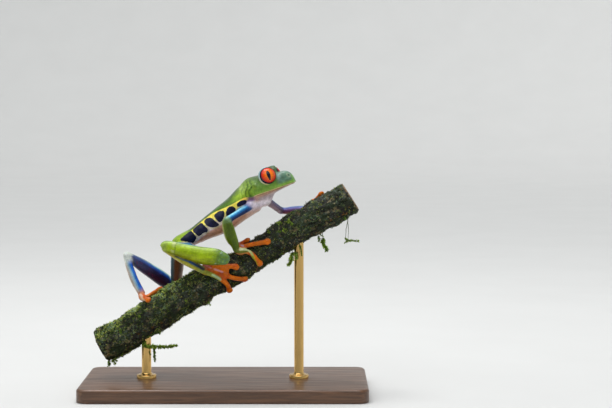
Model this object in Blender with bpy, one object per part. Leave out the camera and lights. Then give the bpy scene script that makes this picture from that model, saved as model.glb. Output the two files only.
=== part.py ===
"""Red-eyed tree frog climbing a sloping mossy branch, life size, on a plain display stand.

The frog faces +X and its right side faces -Y. Sizes below are in millimetres; every finished
object is scaled to metres at the end. The origin is the centre of the base's underside.
"""

import math

import bmesh
import bpy
from mathutils import Matrix, Vector, noise

MM = 0.001
CAP_TURN = math.radians(80)    # how far a round end closes before its flat cap
GAP = 0.3            # clearance kept between neighbouring pieces
HALF_GAP = GAP / 2
WELD = 0.005         # points closer than this are made one

# The stand
BASE_LENGTH = 104.0
BASE_WIDTH = 50.0
BASE_HEIGHT = 5.0
BASE_CORNER = 4.0
BASE_EDGE = 1.0
ROD_RADIUS = 1.75
COLLAR_RADIUS = 3.6
COLLAR_HEIGHT = 1.4
COLLAR_EASE = 0.5    # height of the bevel round the collar's upper edge, and of its cone
ROD_PLACES = {"low": -29.0, "high": 27.0}

# The branch: stations (x, z) of its axis, which lies in the plane y = 0, and its radius there
BRANCH = (
    (-45.6, 16.5, 6.3),
    (-39.4, 19.8, 6.4),
    (-28.5, 26.5, 6.3),
    (-18.2, 33.2, 6.3),
    (-8.0, 39.0, 6.2),
    (-1.5, 42.5, 6.0),
    (7.0, 47.6, 5.8),
    (15.0, 52.6, 5.6),
    (22.0, 57.6, 5.9),
    (28.5, 61.7, 6.2),
    (37.2, 66.2, 6.3),
    (46.0, 71.8, 6.0),
)
BARK_DEPTH = 0.35    # how far bark hollows go in from the branch's radius

# The head's own frame: origin midway between the eyes, f forward, l to the frog's left, n up
HEAD_PLACE = Vector((16.2, -1.0, 79.8))
HEAD_PITCH = math.radians(19)
HEAD_YAW = math.radians(-8)

# Head stations along f: top, mouth and underside heights n, half width at the jaw
HEAD = (
    (-13.0, -1.8, -6.0, -9.6, 6.3),
    (-10.5, 0.0, -5.7, -9.4, 7.0),
    (-8.0, 0.9, -5.45, -8.8, 7.6),
    (-5.0, 1.1, -5.4, -8.1, 8.2),
    (-2.2, 1.0, -5.4, -7.4, 8.3),
    (0.6, 0.7, -5.4, -6.8, 7.7),
    (3.2, 0.0, -5.4, -6.35, 6.5),
    (5.4, -0.2, -5.4, -6.1, 5.1),
    (6.9, -0.9, -5.4, -5.95, 3.8),
    (7.9, -2.2, -5.4, -5.8, 2.6),
    (8.4, -4.0, -5.4, -5.65, 1.5),
)
JAW_CORNER = -6.0    # f of the corner of the mouth
EYE_RADIUS = 2.55
EYE_PLACE = Vector((0.2, 6.2, -0.3))
EYE_AXIS = Vector((0.42, 1.0, 0.12)).normalized()
ORBIT_RADIUS = 3.36
ORBIT_SUNK = 0.4     # how far the orbit's centre lies inside the eyeball's
LID_RADIUS = 2.93
LID_OUT = 0.9        # how far the lids' ring stands out from the eye's centre
LID_THICKNESS = {"upper": 0.4, "lower": 0.36}
NOSTRIL_PLACE = Vector((7.2, 2.6, -2.4))
NOSTRIL_RADIUS = 0.38
EARDRUM_PLACE = Vector((-5.3, 7.45, -2.7))
EARDRUM_RADIUS = 1.25
EARDRUM_HALF_DEPTH = 0.5
NECK_PLACE = Vector((-9.4, 0.0, 0.0))
NECK_NORMAL = Vector((0.86, 0.0, 0.51))
LIP_RADIUS = 0.42
LIP_LIFT = 0.15      # how far the lip's axis lies over the mouth line
LIP_INSET = 0.25     # and how far inside the jaw's rim
GROOVE_RADIUS = 0.26
GROOVE_DROP = 0.42
BODY_VOXEL = 0.32    # size of the grid that runs head and trunk into one body
BODY_TRIANGLES = 3000

# Trunk stations: axis (x, z) in the plane y = 0, half depth, half width
TRUNK = (
    (-19.3, 53.6, 1.2, 1.5),
    (-18.1, 54.3, 2.1, 2.9),
    (-16.1, 55.2, 2.7, 4.2),
    (-11.3, 57.3, 3.1, 5.2),
    (-6.2, 60.3, 4.0, 6.2),
    (-1.1, 63.2, 4.95, 7.0),
    (4.0, 67.0, 5.1, 7.4),
    (9.1, 71.1, 5.8, 7.5),
    (13.0, 72.4, 5.2, 6.8),
    (15.9, 71.7, 3.8, 5.6),
    (17.4, 71.2, 2.4, 3.8),
)

# Joint places of the four limbs; "right" is the side that faces -Y
JOINTS = {
    "right": {
        "hip": (-16.2, -3.4, 53.4),
        "knee": (0.6, -14.6, 50.3),
        "heel": (-20.7, -11.0, 54.0),
        "ankle": (-7.6, -8.4, 45.8),
        "shoulder": (9.2, -5.8, 68.5),
        "elbow": (1.2, -12.0, 64.0),
        "wrist": (4.2, -8.6, 53.0),
    },
    "left": {
        "hip": (-17.4, 3.4, 53.2),
        "knee": (-19.5, 18.0, 35.7),
        "heel": (-36.9, 8.0, 49.1),
        "ankle": (-30.9, 3.8, 35.7),
        "shoulder": (14.6, 4.6, 70.4),
        "elbow": (20.5, 14.2, 65.4),
        "wrist": (31.4, 9.6, 66.5),
    },
}

# How far the middle of a limb length bows away from the line between its joints
BOWS = {
    "right_shank": Vector((0.0, 0.0, 0.2)),
    "left_shank": Vector((0.0, 0.0, 0.5)),
    "left_tarsus": Vector((-0.7, 0.0, -0.25)),
}

# Radii along each limb length, from its root to its end
LIMB_RADII = {
    "thigh": (2.2, 2.2, 2.05, 1.85, 1.75),
    "shank": (1.85, 2.55, 2.7, 2.55, 2.4, 2.05, 1.75),
    "tarsus": (1.7, 1.6, 1.5, 1.45, 1.4),
    "upper_arm": (1.6, 1.4, 1.3, 1.4),
    "forearm": (1.5, 2.0, 2.2, 2.05, 1.7),
}
FOREARM_FLATNESS = 0.68

# Digits as (distance along the branch's axis x, degrees round it from the top towards -Y).
# Each list runs from where the digit leaves the palm to its tip.
DIGITS = {
    "right_foot": (
        ((-4.6, 24), (-2.6, 20)),
        ((-3.8, 30), (-1.0, 30), (1.6, 34)),
        ((-3.0, 40), (1.0, 60), (3.4, 74), (4.6, 84)),
        ((-2.2, 62), (0.2, 86), (2.2, 110), (4.8, 136)),
        ((-2.6, 74), (-1.2, 96), (-0.6, 116), (-1.0, 144)),
    ),
    "left_foot": (
        ((-25.6, 8), (-24.4, 32)),
        ((-25.0, -12), (-22.4, -18), (-20.4, -20)),
        ((-24.8, -26), (-21.4, -40), (-17.6, -50)),
        ((-25.2, -36), (-21.8, -58), (-17.6, -74)),
        ((-26.2, -44), (-25.2, -68), (-22.6, -92)),
    ),
    "right_hand": (
        ((8.0, 14), (8.6, -8), (9.8, -24)),
        ((9.0, 24), (10.2, 11), (11.6, 15)),
        ((9.6, 37), (11.4, 43), (14.2, 56), (17.0, 70)),
        ((10.0, 60), (11.0, 79), (11.2, 98), (11.4, 114)),
    ),
    "left_hand": (
        ((33.0, -56), (34.6, -44)),
        ((33.6, -62), (36.0, -42), (38.4, -29)),
        ((34.0, -72), (37.2, -62), (40.6, -56)),
        ((33.8, -84), (36.4, -100), (38.6, -114)),
    ),
}
# Middle of each palm or sole, placed the same way, with its height over the bark and half width
PALMS = {
    "right_foot": ((-4.6, 56), 1.9, 1.5),
    "left_foot": ((-26.6, -14), 1.7, 1.4),
    "right_hand": ((8.3, 53), 1.8, 1.75),
    "left_hand": ((32.6, -68), 1.6, 1.4),
}
PALM_FLATNESS = 0.7
WRIST_RADIUS = 1.4
TOE_RADIUS = 0.92
TOE_ROOT_RADIUS = 1.0
TOE_FLATNESS = 0.8
PAD_RADIUS = 1.3
PAD_LENGTH = 1.08    # of the pad's width
PAD_FLATNESS = 0.62
EXTREMITY_VOXEL = 0.24
EXTREMITY_TRIANGLES = {"foot": 1250, "hand": 1050}
WEB_REACH = {"foot": 0.78, "hand": 0.45}    # share of each digit that its web joins
WEB_HALF_THICKNESS = 0.32
WEB_HOLLOW = 0.12    # how much shorter the web is midway between two digits

COLOURS = {
    "skin_green": ((0.20, 0.42, 0.04), 0.35),
    "skin_flank": ((0.03, 0.07, 0.25), 0.4),
    "skin_limb_blue": ((0.06, 0.16, 0.42), 0.4),
    "skin_orange": ((0.80, 0.21, 0.02), 0.35),
    "eye_red": ((0.75, 0.06, 0.01), 0.08),
    "bark": ((0.07, 0.06, 0.04), 0.9),
    "stand_wood": ((0.09, 0.05, 0.03), 0.45),
    "stand_brass": ((0.66, 0.50, 0.24), 0.3),
}


def blend(rows, steps):
    """Rows of numbers joined by a smooth curve, with steps rows for each span."""
    rows = [Vector(row) for row in rows]
    padded = [2 * rows[0] - rows[1], *rows, 2 * rows[-1] - rows[-2]]
    out = []
    for a, b, c, d in zip(padded, padded[1:], padded[2:], padded[3:]):
        for k in range(steps):
            t = k / steps
            out.append(
                0.5
                * (
                    2 * b
                    + (c - a) * t
                    + (2 * a - 5 * b + 4 * c - d) * t * t
                    + (3 * b - a - 3 * c + d) * t * t * t
                )
            )
    return [*out, rows[-1]]


def power(value, exponent):
    """A signed power, which squares off or sharpens a section."""
    return math.copysign(abs(value) ** exponent, value)


def add_ring(bm, centre, side, up, wide, high, low, sides, square):
    """One closed section: half width wide, half height high above the centre and low under it."""
    verts = []
    for i in range(sides):
        a = 2 * math.pi * (i + 0.5) / sides
        x = wide * power(math.cos(a), square)
        y = (high if math.sin(a) > 0 else low) * power(math.sin(a), square)
        verts.append(bm.verts.new(centre + side * x + up * y))
    return [bm.edges.new((verts[i - 1], verts[i])) for i in range(sides)]


def new_object(name, bm):
    """An object holding the mesh of bm, its faces pointing outwards."""
    bmesh.ops.recalc_face_normals(bm, faces=bm.faces)
    mesh = bpy.data.meshes.new(name)
    bm.to_mesh(mesh)
    bm.free()
    obj = bpy.data.objects.new(name, mesh)
    bpy.context.scene.collection.objects.link(obj)
    return obj


def bridge(name, bm, rings, closed=False):
    """The closed surface through rings; open ends are capped flat."""
    for a, b in zip(rings, rings[1:]):
        bmesh.ops.bridge_loops(bm, edges=a + b)
    if closed:
        bmesh.ops.bridge_loops(bm, edges=rings[-1] + rings[0])
    else:
        for ring in (rings[0], rings[-1]):
            bmesh.ops.edgeloop_fill(bm, edges=ring)
    return new_object(name, bm)


def frames(points, reference):
    """Tangent, side and up at each point of a path; up leans towards reference."""
    out = []
    for i, point in enumerate(points):
        ahead = points[min(i + 1, len(points) - 1)]
        behind = points[max(i - 1, 0)]
        along = (ahead - behind).normalized()
        toward = reference(point) if callable(reference) else reference
        up = (toward - along * toward.dot(along)).normalized()
        out.append((along, along.cross(up), up))
    return out


def tube(name, points, radii, reference, sides=10, flat=1.0, steps=3, cap=3):
    """A tapering limb or digit with round ends. flat scales its height along reference."""
    rows = [(*p, r) for p, r in zip(points, radii)]
    path = blend(rows, steps)
    centres = [Vector(row[:3]) for row in path]
    sizes = [row[3] for row in path]
    axes = frames(centres, reference)
    stations = []
    for k in range(cap, 0, -1):
        turn = CAP_TURN * k / cap
        move = -sizes[0] * math.sin(turn) * flat
        stations.append((centres[0] + axes[0][0] * move, axes[0], sizes[0] * math.cos(turn)))
    stations += list(zip(centres, axes, sizes))
    for k in range(1, cap + 1):
        turn = CAP_TURN * k / cap
        move = sizes[-1] * math.sin(turn) * flat
        stations.append((centres[-1] + axes[-1][0] * move, axes[-1], sizes[-1] * math.cos(turn)))
    bm = bmesh.new()
    rings = [
        add_ring(bm, centre, side, up, size, size * flat, size * flat, sides, 1.0)
        for centre, (_, side, up), size in stations
    ]
    return bridge(name, bm, rings)


def ball(name, place, radii, turn=None, segments=16, rings=10):
    """An ellipsoid with the given half sizes, turned by the matrix turn."""
    bm = bmesh.new()
    bmesh.ops.create_uvsphere(bm, u_segments=segments, v_segments=rings, radius=1.0)
    matrix = Matrix.Translation(place) @ (turn or Matrix.Identity(4))
    bmesh.ops.transform(bm, matrix=matrix @ Matrix.Diagonal((*radii, 1.0)), verts=bm.verts)
    return new_object(name, bm)


def apply(obj):
    """Makes the object's modifiers permanent."""
    graph = bpy.context.evaluated_depsgraph_get()
    mesh = bpy.data.meshes.new_from_object(obj.evaluated_get(graph))
    obj.modifiers.clear()
    old = obj.data
    obj.data = mesh
    bpy.data.meshes.remove(old)
    return obj


def join(name, pieces):
    """One object made of closed pieces by a single Boolean union."""
    first, *others = pieces
    group = bpy.data.collections.new(name + "_pieces")
    bpy.context.scene.collection.children.link(group)
    for piece in others:
        group.objects.link(piece)
        bpy.context.scene.collection.objects.unlink(piece)
    union = first.modifiers.new("union", "BOOLEAN")
    union.operation = "UNION"
    union.operand_type = "COLLECTION"
    union.collection = group
    apply(first)
    for piece in others:
        bpy.data.objects.remove(piece)
    bpy.data.collections.remove(group)
    first.name = name
    return first


def cut(obj, tool, keep_tool=False):
    """Takes the tool's space out of obj."""
    difference = obj.modifiers.new("cut", "BOOLEAN")
    difference.operation = "DIFFERENCE"
    difference.object = tool
    apply(obj)
    if not keep_tool:
        bpy.data.objects.remove(tool)
    return obj


def melt(obj, voxel, rounds, triangles):
    """Runs the pieces of obj into one smooth body with about that many triangles."""
    remesh = obj.modifiers.new("melt", "REMESH")
    remesh.mode = "VOXEL"
    remesh.voxel_size = voxel
    soften = obj.modifiers.new("soften", "SMOOTH")
    soften.factor = 0.5
    soften.iterations = rounds
    apply(obj)
    thin = obj.modifiers.new("thin", "DECIMATE")
    thin.ratio = triangles / (2 * len(obj.data.polygons))
    return apply(obj)


def grown(obj, distance):
    """A copy of obj with its surface moved out by distance, for use as a tool."""
    tool = obj.copy()
    tool.data = obj.data.copy()
    tool.name = obj.name + "_tool"
    bpy.context.scene.collection.objects.link(tool)
    bm = bmesh.new()
    bm.from_mesh(tool.data)
    bm.normal_update()
    for vert, normal in [(v, v.normal.copy()) for v in bm.verts]:
        vert.co += normal * distance
    bm.to_mesh(tool.data)
    bm.free()
    return tool


def split(obj, place, normal, clearance=HALF_GAP):
    """Keeps the part of obj beyond the plane, along its normal, less the clearance."""
    bm = bmesh.new()
    bm.from_mesh(obj.data)
    parted = bmesh.ops.bisect_plane(
        bm,
        geom=bm.verts[:] + bm.edges[:] + bm.faces[:],
        plane_co=place + normal * clearance,
        plane_no=normal,
        clear_inner=True,
    )
    edges = [e for e in parted["geom_cut"] if isinstance(e, bmesh.types.BMEdge)]
    bmesh.ops.edgeloop_fill(bm, edges=edges)
    bmesh.ops.recalc_face_normals(bm, faces=bm.faces)
    bm.to_mesh(obj.data)
    bm.free()
    return obj


def twin(obj, name):
    """A second, separate copy of obj."""
    other = obj.copy()
    other.data = obj.data.copy()
    other.name = name
    bpy.context.scene.collection.objects.link(other)
    return other


def keep_largest(obj):
    """Welds near points and drops every loose scrap but the largest closed surface."""
    bm = bmesh.new()
    bm.from_mesh(obj.data)
    bmesh.ops.remove_doubles(bm, verts=bm.verts, dist=WELD)
    bm.faces.ensure_lookup_table()
    left = set(bm.faces)
    islands = []
    while left:
        island = {left.pop()}
        edge_of = list(island)
        while edge_of:
            face = edge_of.pop()
            for edge in face.edges:
                for near in edge.link_faces:
                    if near in left:
                        left.discard(near)
                        island.add(near)
                        edge_of.append(near)
        islands.append(island)
    islands.sort(key=lambda island: sum(face.calc_area() for face in island))
    loose = [face for island in islands[:-1] for face in island]
    bmesh.ops.delete(bm, geom=loose, context="FACES")
    bm.to_mesh(obj.data)
    bm.free()
    return obj


def head_matrix():
    """From the head's own frame (f, l, n) to the model's."""
    turn = Matrix.Rotation(HEAD_YAW, 4, "Z") @ Matrix.Rotation(-HEAD_PITCH, 4, "Y")
    return Matrix.Translation(HEAD_PLACE) @ turn


def on_head(f, l, n):
    """The point of the model at a place in the head's own frame."""
    return head_matrix() @ Vector((f, l, n))


def head_section(f):
    """Top, mouth, underside and half width of the head at f, from its stations."""
    rows = blend(HEAD, 6)
    for a, b in zip(rows, rows[1:]):
        if f <= b[0]:
            t = (f - a[0]) / (b[0] - a[0])
            return [x + (y - x) * t for x, y in zip(a, b)][1:]
    return list(rows[-1])[1:]


def trunk_surface():
    """The body from the vent to the chest."""
    bm = bmesh.new()
    rings = []
    rows = blend(TRUNK, 3)
    centres = [Vector((x, 0, z)) for x, z, _, _ in rows]
    for (_, side, up), row, centre in zip(frames(centres, Vector((0, 0, 1))), rows, centres):
        rings.append(add_ring(bm, centre, side, up, row[3], row[2], row[2], 24, 0.95))
    return bridge("trunk", bm, rings)


def skull_surface():
    """The head and throat, without eyes."""
    turn = head_matrix().to_3x3()
    side = turn @ Vector((0, -1, 0))
    up = turn @ Vector((0, 0, 1))
    bm = bmesh.new()
    rings = []
    for f, top, mouth, under, wide in blend(HEAD, 3):
        centre = on_head(f, 0, mouth)
        rings.append(add_ring(bm, centre, side, up, wide, top - mouth, mouth - under, 28, 0.82))
    return bridge("skull", bm, rings)


def eye_matrix(hand):
    """The eye's frame on the side hand (1 left, -1 right): Z along its axis, Y nearest to up."""
    axis = Vector((EYE_AXIS.x, hand * EYE_AXIS.y, EYE_AXIS.z))
    across = Vector((0, 0, 1)).cross(axis).normalized()
    turn = Matrix((across, axis.cross(across), axis)).transposed().to_4x4()
    place = Vector((EYE_PLACE.x, hand * EYE_PLACE.y, EYE_PLACE.z))
    return head_matrix() @ Matrix.Translation(place) @ turn


def orbit(hand):
    """The swelling of the head that holds one eye, open towards its front."""
    matrix = eye_matrix(hand)
    inwards = matrix.to_3x3() @ Vector((0, 0, -1))
    bulge = ball("orbit", matrix @ Vector((0, 0, -ORBIT_SUNK)), (ORBIT_RADIUS,) * 3, None, 24, 16)
    return split(bulge, matrix @ Vector((0, 0, LID_OUT)), inwards.normalized(), 0.0)


def lids(hand):
    """The ring of upper and lower lid round one eye."""
    matrix = eye_matrix(hand)
    middle = (LID_THICKNESS["upper"] + LID_THICKNESS["lower"]) / 2
    swing = (LID_THICKNESS["upper"] - LID_THICKNESS["lower"]) / 2
    bm = bmesh.new()
    rings = []
    count = 26
    for i in range(count):
        a = 2 * math.pi * i / count
        out = (matrix.to_3x3() @ Vector((math.cos(a), math.sin(a), 0))).normalized()
        axis = (matrix.to_3x3() @ Vector((0, 0, 1))).normalized()
        size = middle + swing * math.sin(a)
        centre = matrix @ Vector((LID_RADIUS * math.cos(a), LID_RADIUS * math.sin(a), LID_OUT))
        rings.append(add_ring(bm, centre, out, axis, size, size, size, 8, 1.0))
    return bridge("lids", bm, rings, closed=True)


def mouth_path(drop, inset):
    """Points along the jaw's rim from the right corner of the mouth round to the left one."""
    snout = HEAD[-1][0]
    half = []
    for k in range(7):
        f = JAW_CORNER + (snout - 0.2 - JAW_CORNER) * math.sin(math.pi / 2 * k / 7)
        _, mouth, _, wide = head_section(f)
        half.append((f, wide - inset, mouth - drop))
    tip = (snout - inset, 0.0, head_section(snout)[1] - drop)
    right = [(f, -l, n) for f, l, n in half]
    return [on_head(*p) for p in [*right, tip, *reversed(half)]]


def mouth_tube(name, drop, inset, radius):
    """A thin tube along the mouth: the lip, or the tool for the line under it."""
    points = mouth_path(drop, inset)
    up = head_matrix().to_3x3() @ Vector((0, 0, 1))
    return tube(name, points, [radius] * len(points), up, sides=8, steps=2, cap=2)


def make_trunk():
    """Head and torso in one piece, then parted at the neck."""
    whole = join("whole", [trunk_surface(), skull_surface(), orbit(1), orbit(-1)])
    melt(whole, BODY_VOXEL, 8, BODY_TRIANGLES)
    keep_largest(whole)
    tool = grown(whole, GAP)
    ear = [
        ball("ear", on_head(EARDRUM_PLACE.x, hand * EARDRUM_PLACE.y, EARDRUM_PLACE.z),
             (EARDRUM_RADIUS, EARDRUM_HALF_DEPTH, EARDRUM_RADIUS), head_turn(), 14, 8)
        for hand in (1, -1)
    ]
    lip = mouth_tube("lip", -LIP_LIFT, LIP_INSET, LIP_RADIUS)
    whole = join("whole", [whole, lids(1), lids(-1), lip, *ear])
    for hand in (1, -1):
        centre = eye_matrix(hand).to_translation()
        cut(whole, ball("socket", centre, (EYE_RADIUS + GAP,) * 3, segments=24, rings=16))
        place = on_head(NOSTRIL_PLACE.x, hand * NOSTRIL_PLACE.y, NOSTRIL_PLACE.z)
        cut(whole, ball("nostril", place, (NOSTRIL_RADIUS,) * 3, segments=8, rings=6))
    cut(whole, mouth_tube("groove", GROOVE_DROP, 0.0, GROOVE_RADIUS))
    keep_largest(whole)
    nape = on_head(*NECK_PLACE)
    forward = (head_matrix().to_3x3() @ NECK_NORMAL).normalized()
    head = twin(whole, "head")
    split(head, nape, forward)
    whole.name = "torso"
    split(whole, nape, -forward)
    return keep_largest(head), keep_largest(whole), tool


def head_turn():
    """The head's rotation alone."""
    return head_matrix().to_3x3().to_4x4()


def eyeball(hand):
    """One eyeball, seated in its socket."""
    matrix = eye_matrix(hand)
    turn = matrix.to_3x3().to_4x4()
    place = matrix.to_translation()
    side = "left" if hand > 0 else "right"
    return ball("eye_" + side, place, (EYE_RADIUS,) * 3, turn, 20, 14)


def bend_plane(before, joint, after):
    """The plane through a joint that halves its angle, its normal towards the earlier length."""
    back = (before - joint).normalized()
    on = (after - joint).normalized()
    return joint, (back - on).normalized()


def limb_length(name, root, end, reference, sides=14, flat=1.0):
    """One length of a limb between two joints, with the muscle shape of its kind."""
    radii = LIMB_RADII[name.split("_", 1)[1]]
    bow = BOWS.get(name, Vector())
    points = []
    for k in range(len(radii)):
        t = k / (len(radii) - 1)
        points.append(root.lerp(end, t) + bow * math.sin(math.pi * t))
    return tube(name, points, radii, reference, sides=sides, flat=flat, steps=2, cap=4)


def branch_axis(x):
    """Axis point, direction and radius of the branch at the axis's own x."""
    rows = blend(BRANCH, 6)
    for a, b in zip(rows, rows[1:]):
        if x <= b[0]:
            break
    t = (x - a[0]) / (b[0] - a[0])
    place = Vector((x, 0, a[1] + (b[1] - a[1]) * t))
    along = Vector((b[0] - a[0], 0, b[1] - a[1])).normalized()
    return place, along, a[2] + (b[2] - a[2]) * t


def grip(x, degrees, lift):
    """A point over the branch's bark, and the direction straight out of the bark there."""
    place, along, radius = branch_axis(x)
    turn = math.radians(degrees)
    up = Vector((-along.z, 0, along.x))
    out = up * math.cos(turn) + Vector((0, -1, 0)) * math.sin(turn)
    return place + out * (radius + lift), out


def outward(point):
    """The direction away from the branch's axis at a point near it."""
    place, along, _ = branch_axis(min(max(point.x, BRANCH[0][0]), BRANCH[-1][0]))
    away = point - place
    return (away - along * away.dot(along)).normalized()


def digit(name, palm, stops, wrist):
    """One finger or toe with its round pad, lying on the bark."""
    lift = GAP + TOE_RADIUS * TOE_FLATNESS
    laid = [grip(x, degrees, lift)[0] for x, degrees in stops]
    points = [palm.lerp(wrist, 0.25), palm.lerp(laid[0], 0.55), *laid]
    radii = [TOE_ROOT_RADIUS] * 2 + [TOE_RADIUS] * len(laid)
    shaft = tube(name, points, radii, outward, sides=10, flat=TOE_FLATNESS, steps=3, cap=3)
    tip, out = grip(*stops[-1], GAP + PAD_RADIUS * PAD_FLATNESS)
    along = (laid[-1] - laid[-2]).normalized()
    side = out.cross(along).normalized()
    turn = Matrix((side.cross(out), side, out)).transposed().to_4x4()
    sizes = (PAD_RADIUS * PAD_LENGTH, PAD_RADIUS, PAD_RADIUS * PAD_FLATNESS)
    pad = ball("pad", tip, sizes, turn, 14, 10)
    return [shaft, pad], points


def off_bark(point, lift):
    """The point itself, or the nearest one that clears the bark by lift."""
    place, along, radius = branch_axis(min(max(point.x, BRANCH[0][0]), BRANCH[-1][0]))
    away = point - place
    away -= along * away.dot(along)
    short = radius + lift - away.length
    return point + away.normalized() * max(short, 0.0)


def web(first, second, reach):
    """The thin skin between the roots of two digits, with a hollow front edge."""
    rows = 7
    columns = 5
    paths = [blend([tuple(p) for p in points], 8) for points in (first, second)]
    bm = bmesh.new()
    rings = []
    for i in range(rows):
        line = []
        for j in range(columns):
            w = j / (columns - 1)
            t = i / (rows - 1) * reach * (1 - WEB_HOLLOW * math.sin(math.pi * w))
            a, b = (path[round(t * (len(path) - 1))] for path in paths)
            line.append(off_bark(a.lerp(b, w), GAP + WEB_HALF_THICKNESS))
        ups = [outward(p) * WEB_HALF_THICKNESS for p in line]
        loop = [p + up for p, up in zip(line, ups)] + [p - up for p, up in zip(line, ups)][::-1]
        verts = [bm.verts.new(p) for p in loop]
        rings.append([bm.edges.new((verts[k - 1], verts[k])) for k in range(len(verts))])
    return bridge("web", bm, rings)


def extremity(name, joint, before):
    """A hand or foot: palm, digits, pads and webs run into one body."""
    kind = name.split("_")[1]
    place, height, wide = PALMS[name]
    palm = grip(*place, height)[0]
    roots = [grip(*stops[0], GAP + TOE_RADIUS)[0] for stops in DIGITS[name]]
    front = sum(roots, Vector()) / len(roots)
    radii = [WRIST_RADIUS, wide, wide * 0.9]
    pieces = [tube("palm", [joint, palm, front], radii, outward, sides=12, flat=PALM_FLATNESS)]
    paths = []
    for stops in DIGITS[name]:
        made, path = digit("digit", palm, stops, joint)
        pieces += made
        paths.append(path)
    pieces += [web(a, b, WEB_REACH[kind]) for a, b in zip(paths, paths[1:])]
    whole = join(name, pieces)
    melt(whole, EXTREMITY_VOXEL, 3, EXTREMITY_TRIANGLES[kind])
    keep_largest(whole)
    place, normal = bend_plane(before, joint, palm)
    split(whole, place, -normal)
    return keep_largest(whole), (place, normal)


def make_leg(side, body_tool, branch_tool):
    """Thigh, shank, tarsus and foot of one side."""
    hip, knee, heel, ankle = (Vector(JOINTS[side][k]) for k in ("hip", "knee", "heel", "ankle"))
    up = Vector((0, 0, 1))
    thigh = limb_length(side + "_thigh", hip, knee, up)
    shank = limb_length(side + "_shank", knee, heel, up)
    tarsus = limb_length(side + "_tarsus", heel, ankle, up, sides=12)
    foot, (place, normal) = extremity(side + "_foot", ankle, heel)
    split(tarsus, place, normal)
    place, normal = bend_plane(hip, knee, heel)
    split(thigh, place, normal)
    split(shank, place, -normal)
    place, normal = bend_plane(knee, heel, ankle)
    split(shank, place, normal)
    split(tarsus, place, -normal)
    cut(thigh, body_tool, keep_tool=True)
    cut(foot, branch_tool, keep_tool=True)
    return [keep_largest(piece) for piece in (thigh, shank, tarsus, foot)]


def make_arm(side, body_tool, branch_tool):
    """Upper arm, forearm and hand of one side."""
    shoulder, elbow, wrist = (Vector(JOINTS[side][k]) for k in ("shoulder", "elbow", "wrist"))
    facing = Vector((0, -1, 0))
    upper = limb_length(side + "_upper_arm", shoulder, elbow, facing, sides=12)
    thin = facing if side == "right" else Vector((0, 0, 1))
    fore = limb_length(side + "_forearm", elbow, wrist, thin, sides=12, flat=FOREARM_FLATNESS)
    hand, (place, normal) = extremity(side + "_hand", wrist, elbow)
    split(fore, place, normal)
    place, normal = bend_plane(shoulder, elbow, wrist)
    split(upper, place, normal)
    split(fore, place, -normal)
    cut(upper, body_tool, keep_tool=True)
    cut(hand, branch_tool, keep_tool=True)
    return [keep_largest(piece) for piece in (upper, fore, hand)]


def branch_surface(grow=0.0, rough=BARK_DEPTH, sides=20, steps=3):
    """The branch with its two sawn ends; bark hollows only go inwards."""
    bm = bmesh.new()
    rings = []
    rows = blend(BRANCH, steps)
    centres = [Vector((x, 0, z)) for x, z, _ in rows]
    for (along, side, up), row, centre in zip(frames(centres, Vector((0, 0, 1))), rows, centres):
        ring = add_ring(bm, centre, side, up, row[2], row[2], row[2], sides, 1.0)
        for vert in {v for edge in ring for v in edge.verts}:
            out = (vert.co - centre).normalized()
            lump = 0.5 + 0.5 * noise.noise(vert.co * 0.35)
            vert.co += out * (grow - rough * lump)
        rings.append(ring)
    return bridge("branch", bm, rings)


def make_base():
    """The flat base with round corners and eased edges."""
    bm = bmesh.new()
    bmesh.ops.create_cube(bm, size=1.0)
    size = Matrix.Diagonal((BASE_LENGTH, BASE_WIDTH, BASE_HEIGHT, 1.0))
    lift = Matrix.Translation((0, 0, BASE_HEIGHT / 2))
    bmesh.ops.transform(bm, matrix=lift @ size, verts=bm.verts)
    upright = [e for e in bm.edges if abs(e.verts[0].co.z - e.verts[1].co.z) > BASE_HEIGHT / 2]
    bmesh.ops.bevel(bm, geom=upright, offset=BASE_CORNER, offset_type="OFFSET",
                    affect="EDGES", segments=6, profile=0.5)
    rim = [e for e in bm.edges if all(v.co.z > BASE_HEIGHT * 0.9 for v in e.verts)]
    bmesh.ops.bevel(bm, geom=rim, offset=BASE_EDGE, offset_type="OFFSET",
                    affect="EDGES", segments=3, profile=0.5)
    return new_object("stand_base", bm)


def make_rod(which, branch_tool):
    """One upright rod with its collar, from the base up to the branch's underside."""
    x = ROD_PLACES[which]
    foot = BASE_HEIGHT + GAP
    top = branch_axis(x)[0].z
    bm = bmesh.new()
    heights = (
        (foot, COLLAR_RADIUS),
        (foot + COLLAR_HEIGHT - COLLAR_EASE, COLLAR_RADIUS),
        (foot + COLLAR_HEIGHT, COLLAR_RADIUS - COLLAR_EASE),
        (foot + COLLAR_HEIGHT + COLLAR_EASE, ROD_RADIUS),
        (top, ROD_RADIUS),
    )
    rings = [
        add_ring(bm, Vector((x, 0, z)), Vector((1, 0, 0)), Vector((0, 1, 0)), r, r, r, 20, 1.0)
        for z, r in heights
    ]
    rod = bridge("stand_rod_" + which, bm, rings)
    return keep_largest(cut(rod, branch_tool, keep_tool=True))


def finish(obj, colour):
    """Scales an object to metres and gives it its material and smooth shading."""
    obj.data.transform(Matrix.Scale(MM, 4))
    rgb, roughness = COLOURS[colour]
    material = bpy.data.materials.get(colour) or bpy.data.materials.new(colour)
    material.use_nodes = True
    shader = material.node_tree.nodes["Principled BSDF"]
    shader.inputs["Base Color"].default_value = (*rgb, 1.0)
    shader.inputs["Roughness"].default_value = roughness
    shader.inputs["Metallic"].default_value = 1.0 if colour == "stand_brass" else 0.0
    obj.data.materials.clear()
    obj.data.materials.append(material)
    obj.data.shade_smooth()
    obj.data.set_sharp_from_angle(angle=math.radians(40))


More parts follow.
